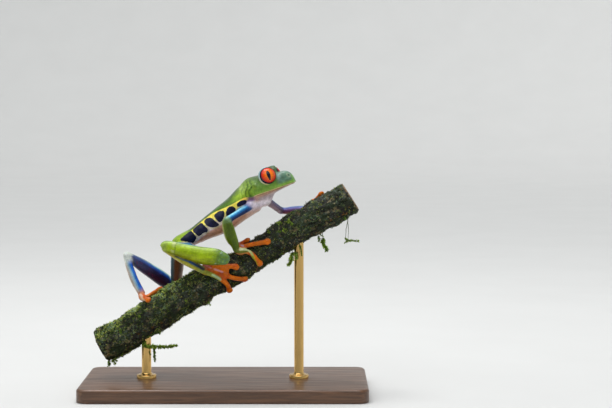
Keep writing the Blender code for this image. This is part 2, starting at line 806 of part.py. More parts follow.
def main():
    for obj in list(bpy.data.objects):
        bpy.data.objects.remove(obj)
    head, torso, body_tool = make_trunk()
    branch_tool = branch_surface(grow=GAP, rough=0.0, sides=24)
    finish(head, "skin_green")
    finish(torso, "skin_flank")
    for hand in (1, -1):
        finish(eyeball(hand), "eye_red")
    for side in ("right", "left"):
        thigh, shank, tarsus, foot = make_leg(side, body_tool, branch_tool)
        upper, fore, palm = make_arm(side, body_tool, branch_tool)
        limb_colour = "skin_green" if side == "right" else "skin_limb_blue"
        for piece in (shank, tarsus, fore):
            finish(piece, limb_colour)
        for piece in (thigh, upper):
            finish(piece, "skin_limb_blue")
        for piece in (foot, palm):
            finish(piece, "skin_orange")
    branch = branch_surface()
    branch.name = "perch_branch"
    finish(branch, "bark")
    finish(make_base(), "stand_wood")
    for which in ROD_PLACES:
        finish(make_rod(which, branch_tool), "stand_brass")
    for tool in (body_tool, branch_tool):
        bpy.data.objects.remove(tool)


main()
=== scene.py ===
"""The detailed look of the red-eyed tree frog on its mossy perch and display stand.

The frog faces +X and its right side faces -Y. Shapes are worked in millimetres and turned to
metres when each piece is finished. Sizes and colours that a user may change are in the panel.
"""

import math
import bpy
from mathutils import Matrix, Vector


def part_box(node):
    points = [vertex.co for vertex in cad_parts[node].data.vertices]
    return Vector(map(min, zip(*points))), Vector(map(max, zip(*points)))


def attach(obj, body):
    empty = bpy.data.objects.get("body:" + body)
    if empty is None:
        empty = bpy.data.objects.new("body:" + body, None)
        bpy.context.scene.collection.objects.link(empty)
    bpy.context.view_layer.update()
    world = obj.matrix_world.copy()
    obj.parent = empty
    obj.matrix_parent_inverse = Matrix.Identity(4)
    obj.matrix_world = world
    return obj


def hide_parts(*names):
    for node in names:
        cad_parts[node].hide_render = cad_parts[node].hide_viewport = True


bl_info = {
    "name": "Red-eyed tree frog on a perch",
    "version": (1, 0, 0),
    "blender": (4, 5, 0),
    "location": "3D View > Sidebar > Tree frog",
    "description": "Dresses the solid model of a red-eyed tree frog with skin, eyes, bark and moss",
    "category": "Add Mesh",
}

import bmesh
import bpy
import numpy as np
from bpy.props import FloatProperty, FloatVectorProperty, IntProperty, PointerProperty
from mathutils import Matrix, Vector, bvhtree, noise

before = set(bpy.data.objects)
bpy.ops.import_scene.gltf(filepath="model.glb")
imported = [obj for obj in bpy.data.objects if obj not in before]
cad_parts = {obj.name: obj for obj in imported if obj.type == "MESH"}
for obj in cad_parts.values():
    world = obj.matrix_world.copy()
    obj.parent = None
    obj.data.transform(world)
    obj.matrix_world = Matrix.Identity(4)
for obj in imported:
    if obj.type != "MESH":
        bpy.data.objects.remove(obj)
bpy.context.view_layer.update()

MM = 0.001

# Joint places of the limbs, as the solids have them; "right" is the side that faces -Y
JOINTS = {
    "right": {
        "hip": (-16.2, -3.4, 53.4),
        "knee": (0.6, -14.6, 50.3),
        "heel": (-20.7, -11.0, 54.0),
        "ankle": (-7.6, -8.4, 45.8),
        "shoulder": (9.2, -5.8, 68.5),
        "elbow": (1.2, -12.0, 64.0),
        "wrist": (4.2, -8.6, 53.0),
    },
    "left": {
        "hip": (-17.4, 3.4, 53.2),
        "knee": (-19.5, 18.0, 35.7),
        "heel": (-36.9, 8.0, 49.1),
        "ankle": (-30.9, 3.8, 35.7),
        "shoulder": (14.6, 4.6, 70.4),
        "elbow": (20.5, 14.2, 65.4),
        "wrist": (31.4, 9.6, 66.5),
    },
}
OUTER = {"right": -1.0, "left": 1.0}
LENGTHS = {
    "thigh": ("hip", "knee"),
    "shank": ("knee", "heel"),
    "tarsus": ("heel", "ankle"),
    "upper_arm": ("shoulder", "elbow"),
    "forearm": ("elbow", "wrist"),
}
# The direction that counts as the folding side of each limb length
FOLD = {
    "right_thigh": (0, 0, 1),
    "right_shank": (0, 0, 1),
    "right_tarsus": (0, 0, 1),
    "right_upper_arm": (0, 0, 1),
    "right_forearm": (1, 0, 0),
    "left_thigh": (-1, 0, 0),
    "left_shank": (0, 0, 1),
    "left_tarsus": (1, 0, 0),
    "left_upper_arm": (0, 0, 1),
    "left_forearm": (0, 0, 1),
}
# Each piece of flesh and the one that it grows from
GROWS_FROM = {"head": "torso", "torso": None}
for side in JOINTS:
    GROWS_FROM[side + "_thigh"] = "torso"
    GROWS_FROM[side + "_shank"] = side + "_thigh"
    GROWS_FROM[side + "_tarsus"] = side + "_shank"
    GROWS_FROM[side + "_foot"] = side + "_tarsus"
    GROWS_FROM[side + "_upper_arm"] = "torso"
    GROWS_FROM[side + "_forearm"] = side + "_upper_arm"
    GROWS_FROM[side + "_hand"] = side + "_forearm"
PARTS = list(GROWS_FROM)

# The head's own frame: origin midway between the eyes, f forward, l to the frog's left, n up
HEAD_PLACE = Vector((16.2, -1.0, 79.8))
HEAD_PITCH = math.radians(19)
HEAD_YAW = math.radians(-8)
EYE_PLACE = Vector((0.2, 6.2, -0.3))
EYE_AXIS = Vector((0.42, 1.0, 0.12)).normalized()
LID_OPENING = 2.97
LID_EDGE = 3.28
MOUTH_HEIGHT = -5.4
NOSTRIL_PLACE = Vector((7.2, 2.6, -2.4))
EARDRUM_PLACE = Vector((-5.3, 7.45, -2.7))

# The branch: stations (x, z) of its axis in the plane y = 0, and its radius there
BRANCH = (
    (-45.6, 16.5, 6.3),
    (-39.4, 19.8, 6.4),
    (-28.5, 26.5, 6.3),
    (-18.2, 33.2, 6.3),
    (-8.0, 39.0, 6.2),
    (-1.5, 42.5, 6.0),
    (7.0, 47.6, 5.8),
    (15.0, 52.6, 5.6),
    (22.0, 57.6, 5.9),
    (28.5, 61.7, 6.2),
    (37.2, 66.2, 6.3),
    (46.0, 71.8, 6.0),
)

# Marks on the flank, (x, z) as seen from the side: the upper edge of its yellow line from hip to
# jaw, and the dark panels under it
SIDE_LINE = (
    (-17.4, 55.4),
    (-14.7, 58.1),
    (-12.3, 60.5),
    (-9.1, 63.2),
    (-5.8, 65.2),
    (-2.9, 66.8),
    (0.2, 68.2),
    (2.9, 69.5),
    (5.8, 71.2),
    (7.2, 71.9),
    (8.7, 72.2),
    (10.1, 72.3),
    (13.0, 73.2),
)
PANELS = (
    ((-16.3, 56.2), (-14.8, 57.5), (-13.2, 59.2), (-12.3, 59.6), (-11.4, 58.9), (-10.1, 57.3),
     (-10.7, 56.1), (-11.8, 55.0), (-13.8, 54.9)),
    ((-11.6, 60.4), (-10.1, 61.4), (-8.3, 62.5), (-7.3, 61.6), (-5.9, 60.4), (-6.1, 59.4),
     (-7.6, 59.1), (-8.7, 58.0), (-9.4, 57.9), (-10.3, 58.7), (-11.2, 59.3)),
    ((-7.4, 63.1), (-6.5, 64.0), (-5.2, 64.4), (-4.2, 64.1), (-3.0, 63.0), (-1.7, 62.1),
     (-2.8, 61.3), (-4.7, 61.1), (-6.3, 61.7)),
    ((-3.7, 65.2), (-2.7, 66.2), (-1.6, 66.8), (-0.2, 67.0), (0.1, 66.1), (-0.1, 64.8),
     (-0.7, 63.5), (-1.6, 62.9), (-2.7, 63.9)),
    ((0.8, 66.4), (1.2, 67.8), (2.0, 68.5), (3.0, 68.7), (4.1, 68.0), (5.1, 67.0),
     (4.6, 65.8), (3.0, 64.9), (1.5, 64.6), (0.9, 65.3)),
    ((4.7, 69.5), (5.3, 70.2), (6.2, 70.7), (7.4, 71.0), (8.2, 70.7), (7.8, 69.5),
     (7.2, 68.2), (6.2, 67.2), (5.4, 67.7), (4.9, 68.6)),
)

# How the solids of flesh are joined: gaps up to this are closed, with this overlap
WIDEST_GAP = 0.44
OVERLAP = 0.16
# The place on the head's own frame round which the neck is smoothed
NECK_PLACE = (-9.4, 0, 0)
# How much fuller every limb is than its solid
LIMB_RISE = 0.08
# The hump of the nape: its x, and its height
NAPE_X = 8.2
NAPE_RISE = 0.48
# What is added to the height over the flank line on top of the back, which keeps it green, and to
# the distance from the dark panels on limbs and jaw
TOP_LIFT = 3.6
OFF_PANEL = 4.0
# The lids: the radius at which they start to thin, and the left one's drawn-back edge and depth
LID_ROOT = 2.72
BARE_EDGE = 2.84
BARE_DEPTH = 2.6


# Numbers and meshes

def smooth_step(value, low, high):
    """0 under low, 1 over high and a soft rise between."""
    t = np.clip((value - low) / (high - low), 0.0, 1.0)
    return t * t * (3 - 2 * t)


def hump(value, middle, width):
    """1 at the middle, falling softly to 0 on both sides."""
    return np.exp(-((value - middle) / width) ** 2)


def shade(value, stops):
    """The colours that belong to an array of values, from (value, colour) stops."""
    places = [place for place, _ in stops]
    return np.stack([np.interp(value, places, [c[k] for _, c in stops]) for k in range(3)], 1)


def mixed(first, second, share):
    """first, and second where share is 1."""
    return first + (np.asarray(second) - first) * np.asarray(share)[:, None]


def get_points(mesh):
    co = np.empty(len(mesh.vertices) * 3)
    mesh.vertices.foreach_get("co", co)
    return co.reshape(-1, 3)


def set_points(mesh, co):
    mesh.vertices.foreach_set("co", np.ascontiguousarray(co, dtype=np.float32).ravel())
    mesh.update()


def get_normals(mesh):
    normals = np.empty(len(mesh.vertices) * 3)
    mesh.vertex_normals.foreach_get("vector", normals)
    return normals.reshape(-1, 3)


def get_edges(mesh):
    pairs = np.empty(len(mesh.edges) * 2, dtype=np.int64)
    mesh.edges.foreach_get("vertices", pairs)
    return pairs.reshape(-1, 2)


def relaxed(values, edges, rounds, share=0.5):
    """Values of the points of a mesh, each drawn towards the mean of its neighbours."""
    a, b = edges.T
    count = len(values)
    near = np.maximum(np.bincount(edges.ravel(), minlength=count), 1)[:, None]
    values = np.array(values, dtype=float).reshape(count, -1)
    share = np.asarray(share).reshape(-1, 1) if np.ndim(share) else share
    for _ in range(rounds):
        total = np.stack(
            [
                np.bincount(a, column[b], count) + np.bincount(b, column[a], count)
                for column in values.T
            ],
            1,
        )
        values += share * (total / near - values)
    return values


def new_object(name, bm):
    mesh = bpy.data.meshes.new(name)
    bm.to_mesh(mesh)
    bm.free()
    obj = bpy.data.objects.new(name, mesh)
    bpy.context.scene.collection.objects.link(obj)
    return obj


def apply(obj):
    """Makes the object's modifiers permanent."""
    graph = bpy.context.evaluated_depsgraph_get()
    mesh = bpy.data.meshes.new_from_object(obj.evaluated_get(graph))
    old = obj.data
    obj.modifiers.clear()
    obj.data = mesh
    bpy.data.meshes.remove(old)


def turned(profile, steps, merged):
    """A closed shape turned round Z from the (radius, z) points of its profile."""
    bm = bmesh.new()
    verts = [bm.verts.new((r, 0, z)) for r, z in profile]
    edges = [bm.edges.new(pair) for pair in zip(verts, verts[1:])]
    bmesh.ops.spin(bm, geom=verts + edges, cent=(0, 0, 0), axis=(0, 0, 1), dvec=(0, 0, 0),
                   angle=math.tau, steps=steps, use_merge=True, use_duplicate=False)
    bmesh.ops.remove_doubles(bm, verts=bm.verts, dist=merged)
    bmesh.ops.recalc_face_normals(bm, faces=bm.faces)
    return bm


def node_copy(name):
    """The merged mesh of a solid in millimetres, as a bmesh."""
    bm = bmesh.new()
    bm.from_mesh(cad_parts[name].data)
    bmesh.ops.remove_doubles(bm, verts=bm.verts, dist=1e-7)
    bmesh.ops.transform(bm, matrix=Matrix.Scale(1 / MM, 4), verts=bm.verts)
    return bm


def voxel_object(name, bm, voxel):
    """One closed surface of even small faces round everything in bm."""
    obj = new_object(name, bm)
    remesh = obj.modifiers.new("even", "REMESH")
    remesh.mode = "VOXEL"
    remesh.voxel_size = voxel
    apply(obj)
    return obj


def finish_piece(obj, material, slot, *nodes):
    """Turns the piece to metres, gives it its material and hands it to the frame."""
    obj.data.transform(Matrix.Scale(MM, 4))
    obj.data.materials.clear()
    obj.data.materials.append(material)
    obj.data.shade_smooth()
    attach(obj, "root")
    if nodes:
        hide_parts(*nodes)


def set_colour(mesh, name, colours):
    layer = mesh.attributes.new(name, "FLOAT_COLOR", "POINT")
    alpha = np.ones((len(colours), 1))
    layer.data.foreach_set("color", np.hstack([colours, alpha]).astype(np.float32).ravel())


def set_vector(mesh, name, vectors):
    layer = mesh.attributes.new(name, "FLOAT_VECTOR", "POINT")
    layer.data.foreach_set("vector", np.ascontiguousarray(vectors, dtype=np.float32).ravel())


def noise_at(points, scale, octaves=3, offset=0.0):
    """Fractal noise, about -1 to 1, at each point."""
    moved = points * scale + offset
    return np.array([noise.fractal(p, 1.0, 2.0, octaves) for p in moved.tolist()])


# Building materials

def new_material(name, **sockets):
    """A material with these values on its shader, and its tree and shader."""
    material = bpy.data.materials.new(name)
    material.use_nodes = True
    tree = material.node_tree
    shader = tree.nodes["Principled BSDF"]
    for key, value in sockets.items():
        shader.inputs[key.replace("_", " ")].default_value = value
    return material, tree, shader


def add(tree, kind, inputs=None, **settings):
    """A new node; inputs are values or other nodes' sockets, by name or number."""
    made = tree.nodes.new("ShaderNode" + kind)
    for key, value in settings.items():
        setattr(made, key, value)
    for key, value in (inputs or {}).items():
        if isinstance(value, bpy.types.NodeSocket):
            tree.links.new(value, made.inputs[key])
        else:
            made.inputs[key].default_value = value
    return made


def place_mm(tree, turn=(0, 0, 0), stretch=(1, 1, 1)):
    """The place on the piece in millimetres, turned and stretched."""
    coords = add(tree, "TexCoord")
    scaled = add(tree, "Mapping", {0: coords.outputs["Object"], "Scale": (1 / MM,) * 3})
    turned = add(tree, "Mapping", {0: scaled.outputs[0], "Rotation": turn})
    return add(tree, "Mapping", {0: turned.outputs[0], "Scale": stretch}).outputs[0]


def add_noise(tree, vector, scale, detail=3.0, rough=0.55):
    made = add(tree, "TexNoise", {"Vector": vector, "Scale": scale, "Detail": detail,
                                  "Roughness": rough})
    return made.outputs["Fac"]


def parts_of(tree, name):
    """The three numbers that an attribute of the mesh holds."""
    held = add(tree, "Attribute", attribute_name=name).outputs["Vector"]
    return add(tree, "SeparateXYZ", {0: held}).outputs


def maths(tree, operation, first, second=0.0, third=0.0):
    return add(tree, "Math", {0: first, 1: second, 2: third}, operation=operation).outputs[0]


def fade(tree, value, low, high, start=0.0, end=1.0):
    """value mapped softly from low..high to start..end."""
    made = add(tree, "MapRange", {"Value": value, "From Min": low, "From Max": high,
                                  "To Min": start, "To Max": end}, interpolation_type="SMOOTHSTEP")
    return made.outputs[0]


def blend_colours(tree, share, first, second, kind="MIX"):
    made = add(tree, "Mix", {0: share}, data_type="RGBA", blend_type=kind)
    for socket, value in zip(made.inputs[6:8], (first, second)):
        if isinstance(value, bpy.types.NodeSocket):
            tree.links.new(value, socket)
        else:
            socket.default_value = (*value, 1.0)
    return made.outputs[2]


def darkened(tree, colour, grey):
    """The colour multiplied by a grey."""
    grey = add(tree, "CombineColor", {0: grey, 1: grey, 2: grey}).outputs[0]
    return blend_colours(tree, 1.0, colour, grey, "MULTIPLY")


def bump(tree, height, strength, distance, normal=None):
    inputs = {"Height": height, "Strength": strength, "Distance": distance * MM}
    if normal is not None:
        inputs["Normal"] = normal
    return add(tree, "Bump", inputs).outputs[0]


# The user's choices

class FrogLook(bpy.types.PropertyGroup):
    skin_voxel: FloatProperty(name="Skin grid", description="Size of the skin's faces, mm",
                              default=0.27, min=0.2, max=0.6)
    back_green: FloatVectorProperty(name="Back green", description="Deep green of the back",
                                    subtype="COLOR", default=(0.038, 0.086, 0.018))
    line_yellow: FloatVectorProperty(name="Flank yellow", description="Yellow of line and bars",
                                     subtype="COLOR", default=(0.80, 0.66, 0.09))
    panel_navy: FloatVectorProperty(name="Panel blue", description="Dark blue between the bars",
                                    subtype="COLOR", default=(0.002, 0.004, 0.026))
    toe_orange: FloatVectorProperty(name="Toe orange", description="Orange of hands and feet",
                                    subtype="COLOR", default=(0.62, 0.14, 0.002))
    eye_radius: FloatProperty(name="Eye radius", description="Radius of the eyeball, mm",
                              default=3.14, min=2.5, max=3.2)
    iris_red: FloatVectorProperty(name="Iris red", description="Red of the iris towards its rim",
                                  subtype="COLOR", default=(0.62, 0.014, 0.003))
    iris_orange: FloatVectorProperty(name="Iris orange", description="Orange round the pupil",
                                     subtype="COLOR", default=(0.95, 0.19, 0.004))


class PerchLook(bpy.types.PropertyGroup):
    bark_voxel: FloatProperty(name="Bark grid", description="Size of the bark's faces, mm",
                              default=0.42, min=0.3, max=1.0)
    bark_brown: FloatVectorProperty(name="Bark brown", description="Dark colour of the bark",
                                    subtype="COLOR", default=(0.009, 0.008, 0.006))
    moss_green: FloatVectorProperty(name="Moss green", description="Green of the moss",
                                    subtype="COLOR", default=(0.060, 0.115, 0.010))
    moss_tufts: IntProperty(name="Moss tufts", description="Number of small moss tufts",
                            default=11500, min=100, max=13000)
    sprigs: IntProperty(name="Sprigs", description="Number of hanging leafy sprigs",
                        default=36, min=0, max=80)


class StandLook(bpy.types.PropertyGroup):
    wood_brown: FloatVectorProperty(name="Wood brown", description="Colour of the base",
                                    subtype="COLOR", default=(0.10, 0.045, 0.02))
    brass: FloatVectorProperty(name="Brass", description="Colour of the rods",
                               subtype="COLOR", default=(0.72, 0.46, 0.16))


# Places on the head and the branch

def head_matrix():
    turn = Matrix.Rotation(HEAD_YAW, 4, "Z") @ Matrix.Rotation(-HEAD_PITCH, 4, "Y")
    return Matrix.Translation(HEAD_PLACE) @ turn


def eye_matrix(hand):
    """The eye's frame: X towards the snout, Y towards the crown, Z out along the eye's axis."""
    head = head_matrix()
    turn = head.to_3x3()
    axis = (turn @ Vector((EYE_AXIS.x, hand * EYE_AXIS.y, EYE_AXIS.z))).normalized()
    up = turn @ Vector((0, 0, 1))
    up = (up - axis * up.dot(axis)).normalized()
    ahead = up.cross(axis)
    if ahead.x < 0:
        ahead = -ahead
    place = head @ Vector((EYE_PLACE.x, hand * EYE_PLACE.y, EYE_PLACE.z))
    frame_of_eye = Matrix((ahead, up, axis)).transposed().to_4x4()
    return Matrix.Translation(place) @ frame_of_eye


def seen_from(matrix, points):
    """Points in the frame of the matrix."""
    inverse = np.array(matrix.inverted())
    return points @ inverse[:3, :3].T + inverse[:3, 3]


def branch_curve(steps=8):
    """Fine stations (x, z, radius) of the branch."""
    rows = [Vector(row) for row in BRANCH]
    padded = [2 * rows[0] - rows[1], *rows, 2 * rows[-1] - rows[-2]]
    out = []
    for a, b, c, d in zip(padded, padded[1:], padded[2:], padded[3:]):
        for k in range(steps):
            t = k / steps
            square, cube = t * t, t * t * t
            out.append(0.5 * (2 * b + (c - a) * t + (2 * a - 5 * b + 4 * c - d) * square
                              + (3 * b - a - 3 * c + d) * cube))
    return np.array([*out, rows[-1]])


def round_branch(points):
    """Distance along the branch, height over its radius and turn round it from the top to -Y."""
    rows = branch_curve()
    best = np.full(len(points), 1e9)
    along = np.zeros(len(points))
    height = np.zeros(len(points))
    turn = np.zeros(len(points))
    start = 0.0
    for (ax, az, ar), (bx, bz, br) in zip(rows, rows[1:]):
        a = np.array((ax, 0, az))
        step = np.array((bx - ax, 0, bz - az))
        length = np.linalg.norm(step)
        step /= length
        rel = points - a
        t = np.clip(rel @ step, 0, length)
        out = rel - t[:, None] * step
        distance = np.linalg.norm(out, axis=1)
        close = distance < best
        best[close] = distance[close]
        along[close] = (start + t)[close]
        height[close] = (distance - (ar + (br - ar) * t / length))[close]
        up = np.array((-step[2], 0, step[0]))
        turn[close] = np.arctan2(-out[:, 1], out @ up)[close]
        start += length
    return along, height, turn


def grip(x, degrees, lift):
    """A point over the bark at the axis's own x, turned round it from the top to -Y."""
    rows = branch_curve()
    k = int(np.clip(np.searchsorted(rows[:, 0], x), 1, len(rows) - 1))
    a, b = rows[k - 1], rows[k]
    t = (x - a[0]) / (b[0] - a[0])
    z, radius = (a + (b - a) * t)[1:]
    along = Vector((b[0] - a[0], 0, b[1] - a[1])).normalized()
    up = Vector((-along.z, 0, along.x))
    angle = math.radians(degrees)
    out = up * math.cos(angle) + Vector((0, -1, 0)) * math.sin(angle)
    return Vector((x, 0, z)) + out * (radius + lift), out


# The skin

def joined_flesh():
    """All the solids of flesh, each pushed a little into the one that it grows from."""
    parts = {name: node_copy(name) for name in PARTS}
    trees = {name: bvhtree.BVHTree.FromBMesh(bm) for name, bm in parts.items()}
    whole = bmesh.new()
    for name, bm in parts.items():
        parent = GROWS_FROM[name]
        if parent:
            for vert in bm.verts:
                near, _, _, gap = trees[parent].find_nearest(vert.co)
                if 0.01 < gap < WIDEST_GAP:
                    vert.co += (near - vert.co) / gap * (gap + OVERLAP)
        scratch = bpy.data.meshes.new("scratch")
        bm.to_mesh(scratch)
        whole.from_mesh(scratch)
        bpy.data.meshes.remove(scratch)
        bm.free()
    return whole, trees


def part_shares(co, edges, trees):
    """For each part, how much each point of the skin belongs to it."""
    distance = np.full((len(PARTS), len(co)), 1e9)
    for k, name in enumerate(PARTS):
        low, high = (np.array(c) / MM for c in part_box(name))
        inside = np.all((co > low - 1.2) & (co < high + 1.2), axis=1)
        for i in np.nonzero(inside)[0]:
            distance[k, i] = trees[name].find_nearest(co[i])[3]
    owner = distance.argmin(axis=0)
    one_hot = (np.arange(len(PARTS))[:, None] == owner).T.astype(float)
    soft = relaxed(one_hot, edges, 10)
    return {name: soft[:, k] for k, name in enumerate(PARTS)}


def along_side_line(co):
    """Distance along the flank line and height over it, as seen from the side."""
    flat = co[:, [0, 2]]
    line = np.array(SIDE_LINE)
    best = np.full(len(co), 1e9)
    along = np.zeros(len(co))
    height = np.zeros(len(co))
    start = 0.0
    last = len(line) - 2
    for k, (a, b) in enumerate(zip(line, line[1:])):
        step = b - a
        length = np.linalg.norm(step)
        step /= length
        rel = flat - a
        t = np.clip(rel @ step, 0 if k else -99, length if k < last else 99)
        gap = rel - t[:, None] * step
        distance = np.linalg.norm(gap, axis=1)
        close = distance < best
        best[close] = distance[close]
        along[close] = (start + t)[close]
        height[close] = np.copysign(distance, gap @ (-step[1], step[0]))[close]
        start += length
    return along, height


def outline_distance(flat, corners):
    """Signed distance from a closed outline with rounded corners, negative inside."""
    corners = np.array(corners)
    ahead = np.roll(corners, -1, axis=0)
    outline = np.stack([0.8 * corners + 0.2 * ahead, 0.2 * corners + 0.8 * ahead], 1).reshape(-1, 2)
    best = np.full(len(flat), 1e9)
    inside = np.zeros(len(flat), dtype=bool)
    for a, b in zip(outline, np.roll(outline, -1, axis=0)):
        step = b - a
        rel = flat - a
        t = np.clip(rel @ step / (step @ step), 0, 1)
        best = np.minimum(best, np.hypot(*(rel - t[:, None] * step).T))
        crosses = (a[1] > flat[:, 1]) != (b[1] > flat[:, 1])
        inside ^= crosses & (rel[:, 0] < rel[:, 1] / (step[1] + 1e-12) * step[0])
    return np.where(inside, -best, best)


def panel_distance(co):
    """Signed distance to the nearest dark flank panel, negative inside."""
    flat = co[:, [0, 2]]
    low, high = np.min(np.concatenate(PANELS), 0) - 2, np.max(np.concatenate(PANELS), 0) + 2
    close = np.all((flat > low) & (flat < high), axis=1)
    best = np.full(len(co), 9.0)
    best[close] = np.min([outline_distance(flat[close], corners) for corners in PANELS], axis=0)
    return best


def path_distance(co, path):
    """Distance from a bent line, as seen from the side, and how far along it."""
    path = np.array(path)
    best = np.full(len(co), 1e9)
    reach = np.zeros(len(co))
    for k, (a, b) in enumerate(zip(path, path[1:])):
        step = b - a
        rel = co[:, [0, 2]] - a
        t = np.clip(rel @ step / (step @ step), 0, 1)
        distance = np.hypot(*(rel - t[:, None] * step).T)
        reach = np.where(distance < best, (k + t) / (len(path) - 1), reach)
        best = np.minimum(best, distance)
    return best, reach


LEAF = (0.062, 0.150, 0.009)
# Grey-green of the tops of the back and head: a painted sheen of the sky
SHEEN_GREY_GREEN = (0.070, 0.125, 0.052)
CREAM = (0.64, 0.54, 0.22)
WHITE = (0.84, 0.75, 0.80)
LILAC = (0.60, 0.50, 0.66)
PINK = (0.62, 0.34, 0.24)
TAN = (0.50, 0.25, 0.13)
MINT = (0.58, 0.76, 0.42)

# Colours round each limb length, by degrees from its outer side over its folding side
ROUND_LIMB = {
    "thigh": (
        (0, (0.09, 0.24, 0.10)), (40, (0.10, 0.26, 0.20)), (75, (0.03, 0.16, 0.30)),
        (100, (0.04, 0.20, 0.40)), (118, (0.035, 0.09, 0.11)), (148, (0.035, 0.06, 0.06)),
        (168, (0.15, 0.055, 0.013)), (200, (0.16, 0.060, 0.016)), (225, (0.20, 0.13, 0.08)),
        (270, (0.42, 0.22, 0.16)),
        (320, (0.14, 0.14, 0.08)), (360, (0.09, 0.24, 0.10)),
    ),
    "shank": (
        (0, (0.29, 0.42, 0.004)), (35, (0.31, 0.45, 0.010)), (62, (0.30, 0.45, 0.04)),
        # The pale line at about 92 degrees, along the top edge between the green and the blue, is a painted
        # highlight
        (80, (0.31, 0.46, 0.14)), (92, (0.46, 0.60, 0.44)), (103, (0.20, 0.42, 0.44)),
        (112, (0.005, 0.13, 0.44)),
        (128, (0.004, 0.045, 0.30)), (142, (0.016, 0.014, 0.065)), (190, (0.032, 0.010, 0.040)),
        (230, (0.034, 0.018, 0.065)), (262, (0.07, 0.05, 0.05)), (290, (0.17, 0.17, 0.003)),
        (325, (0.27, 0.34, 0.002)), (360, (0.32, 0.44, 0.004)),
    ),
    "tarsus": (
        (0, (0.30, 0.31, 0.006)), (50, (0.22, 0.23, 0.008)), (78, (0.05, 0.06, 0.06)),
        (100, (0.02, 0.05, 0.24)), (130, (0.01, 0.09, 0.55)), (174, (0.02, 0.15, 0.52)),
        (192, (0.16, 0.36, 0.56)), (212, (0.50, 0.58, 0.58)), (236, (0.56, 0.44, 0.38)),
        (285, (0.60, 0.52, 0.20)), (318, (0.42, 0.39, 0.04)), (360, (0.30, 0.31, 0.006)),
    ),
    "upper_arm": (
        # The bright cyan band at about 40 to 58 degrees is a painted highlight along the upper side of the
        # arm
        (0, (0.012, 0.09, 0.28)), (18, (0.02, 0.22, 0.52)), (40, (0.14, 0.54, 0.78)),
        (58, (0.26, 0.62, 0.74)), (76, (0.03, 0.20, 0.34)), (110, (0.02, 0.06, 0.20)),
        # The dark navy at about 275 to 345 degrees is partly the arm's own dark blue and partly painted
        # shade on its lower side
        (180, (0.36, 0.24, 0.32)), (230, (0.40, 0.22, 0.24)), (275, (0.03, 0.03, 0.10)),
        (318, (0.004, 0.014, 0.08)), (345, (0.006, 0.035, 0.15)), (360, (0.015, 0.11, 0.32)),
    ),
    "forearm": (
        (0, (0.062, 0.105, 0.001)), (45, (0.085, 0.140, 0.002)), (74, (0.16, 0.24, 0.02)),
        (90, (0.36, 0.42, 0.18)), (106, (0.10, 0.20, 0.46)), (150, (0.12, 0.12, 0.38)),
        (178, (0.22, 0.08, 0.22)), (205, (0.27, 0.05, 0.07)), (240, (0.24, 0.09, 0.05)),
        (264, (0.56, 0.48, 0.20)), (290, (0.52, 0.52, 0.16)), (304, (0.10, 0.155, 0.003)),
        (360, (0.062, 0.105, 0.001)),
    ),
}
# Colours that take over towards the ends of a limb length: share, from, to, colour
LIMB_ENDS = {
    "right_thigh": (),
    "right_shank": ((0.85, 0.20, 0.06, (0.065, 0.15, 0.03)), (0.8, 0.10, 0.0, (0.12, 0.23, 0.09)),
                    (0.55, 0.93, 1.02, (0.26, 0.36, 0.10))),
    "right_tarsus": ((0.8, 0.14, 0.0, (0.40, 0.42, 0.08)), (0.7, 0.80, 1.0, (0.26, 0.36, 0.10))),
    "right_upper_arm": ((0.6, 0.25, 0.0, (0.02, 0.13, 0.42)), (0.9, 0.84, 1.0, (0.22, 0.36, 0.18))),
    "right_forearm": ((0.55, 0.10, 0.0, (0.16, 0.27, 0.10)), (0.3, 0.92, 1.0, (0.16, 0.24, 0.04))),
    "left_thigh": (),
    "left_shank": ((0.3, 0.12, 0.0, (0.03, 0.02, 0.07)), (0.8, 0.35, 0.90, (0.065, 0.085, 0.22)),
                   (0.95, 0.91, 0.97, (0.62, 0.68, 0.58))),
    "left_tarsus": ((0.95, 0.26, 0.08, (0.66, 0.70, 0.64)), (0.75, 0.84, 1.0, (0.56, 0.27, 0.16))),
    "left_upper_arm": ((0.8, 0.35, 0.0, (0.42, 0.30, 0.32)), (0.6, 0.80, 1.0, (0.07, 0.12, 0.42))),
    "left_forearm": ((0.3, 0.1, 0.0, (0.06, 0.09, 0.34)), (0.5, 0.85, 1.0, (0.34, 0.14, 0.08))),
}
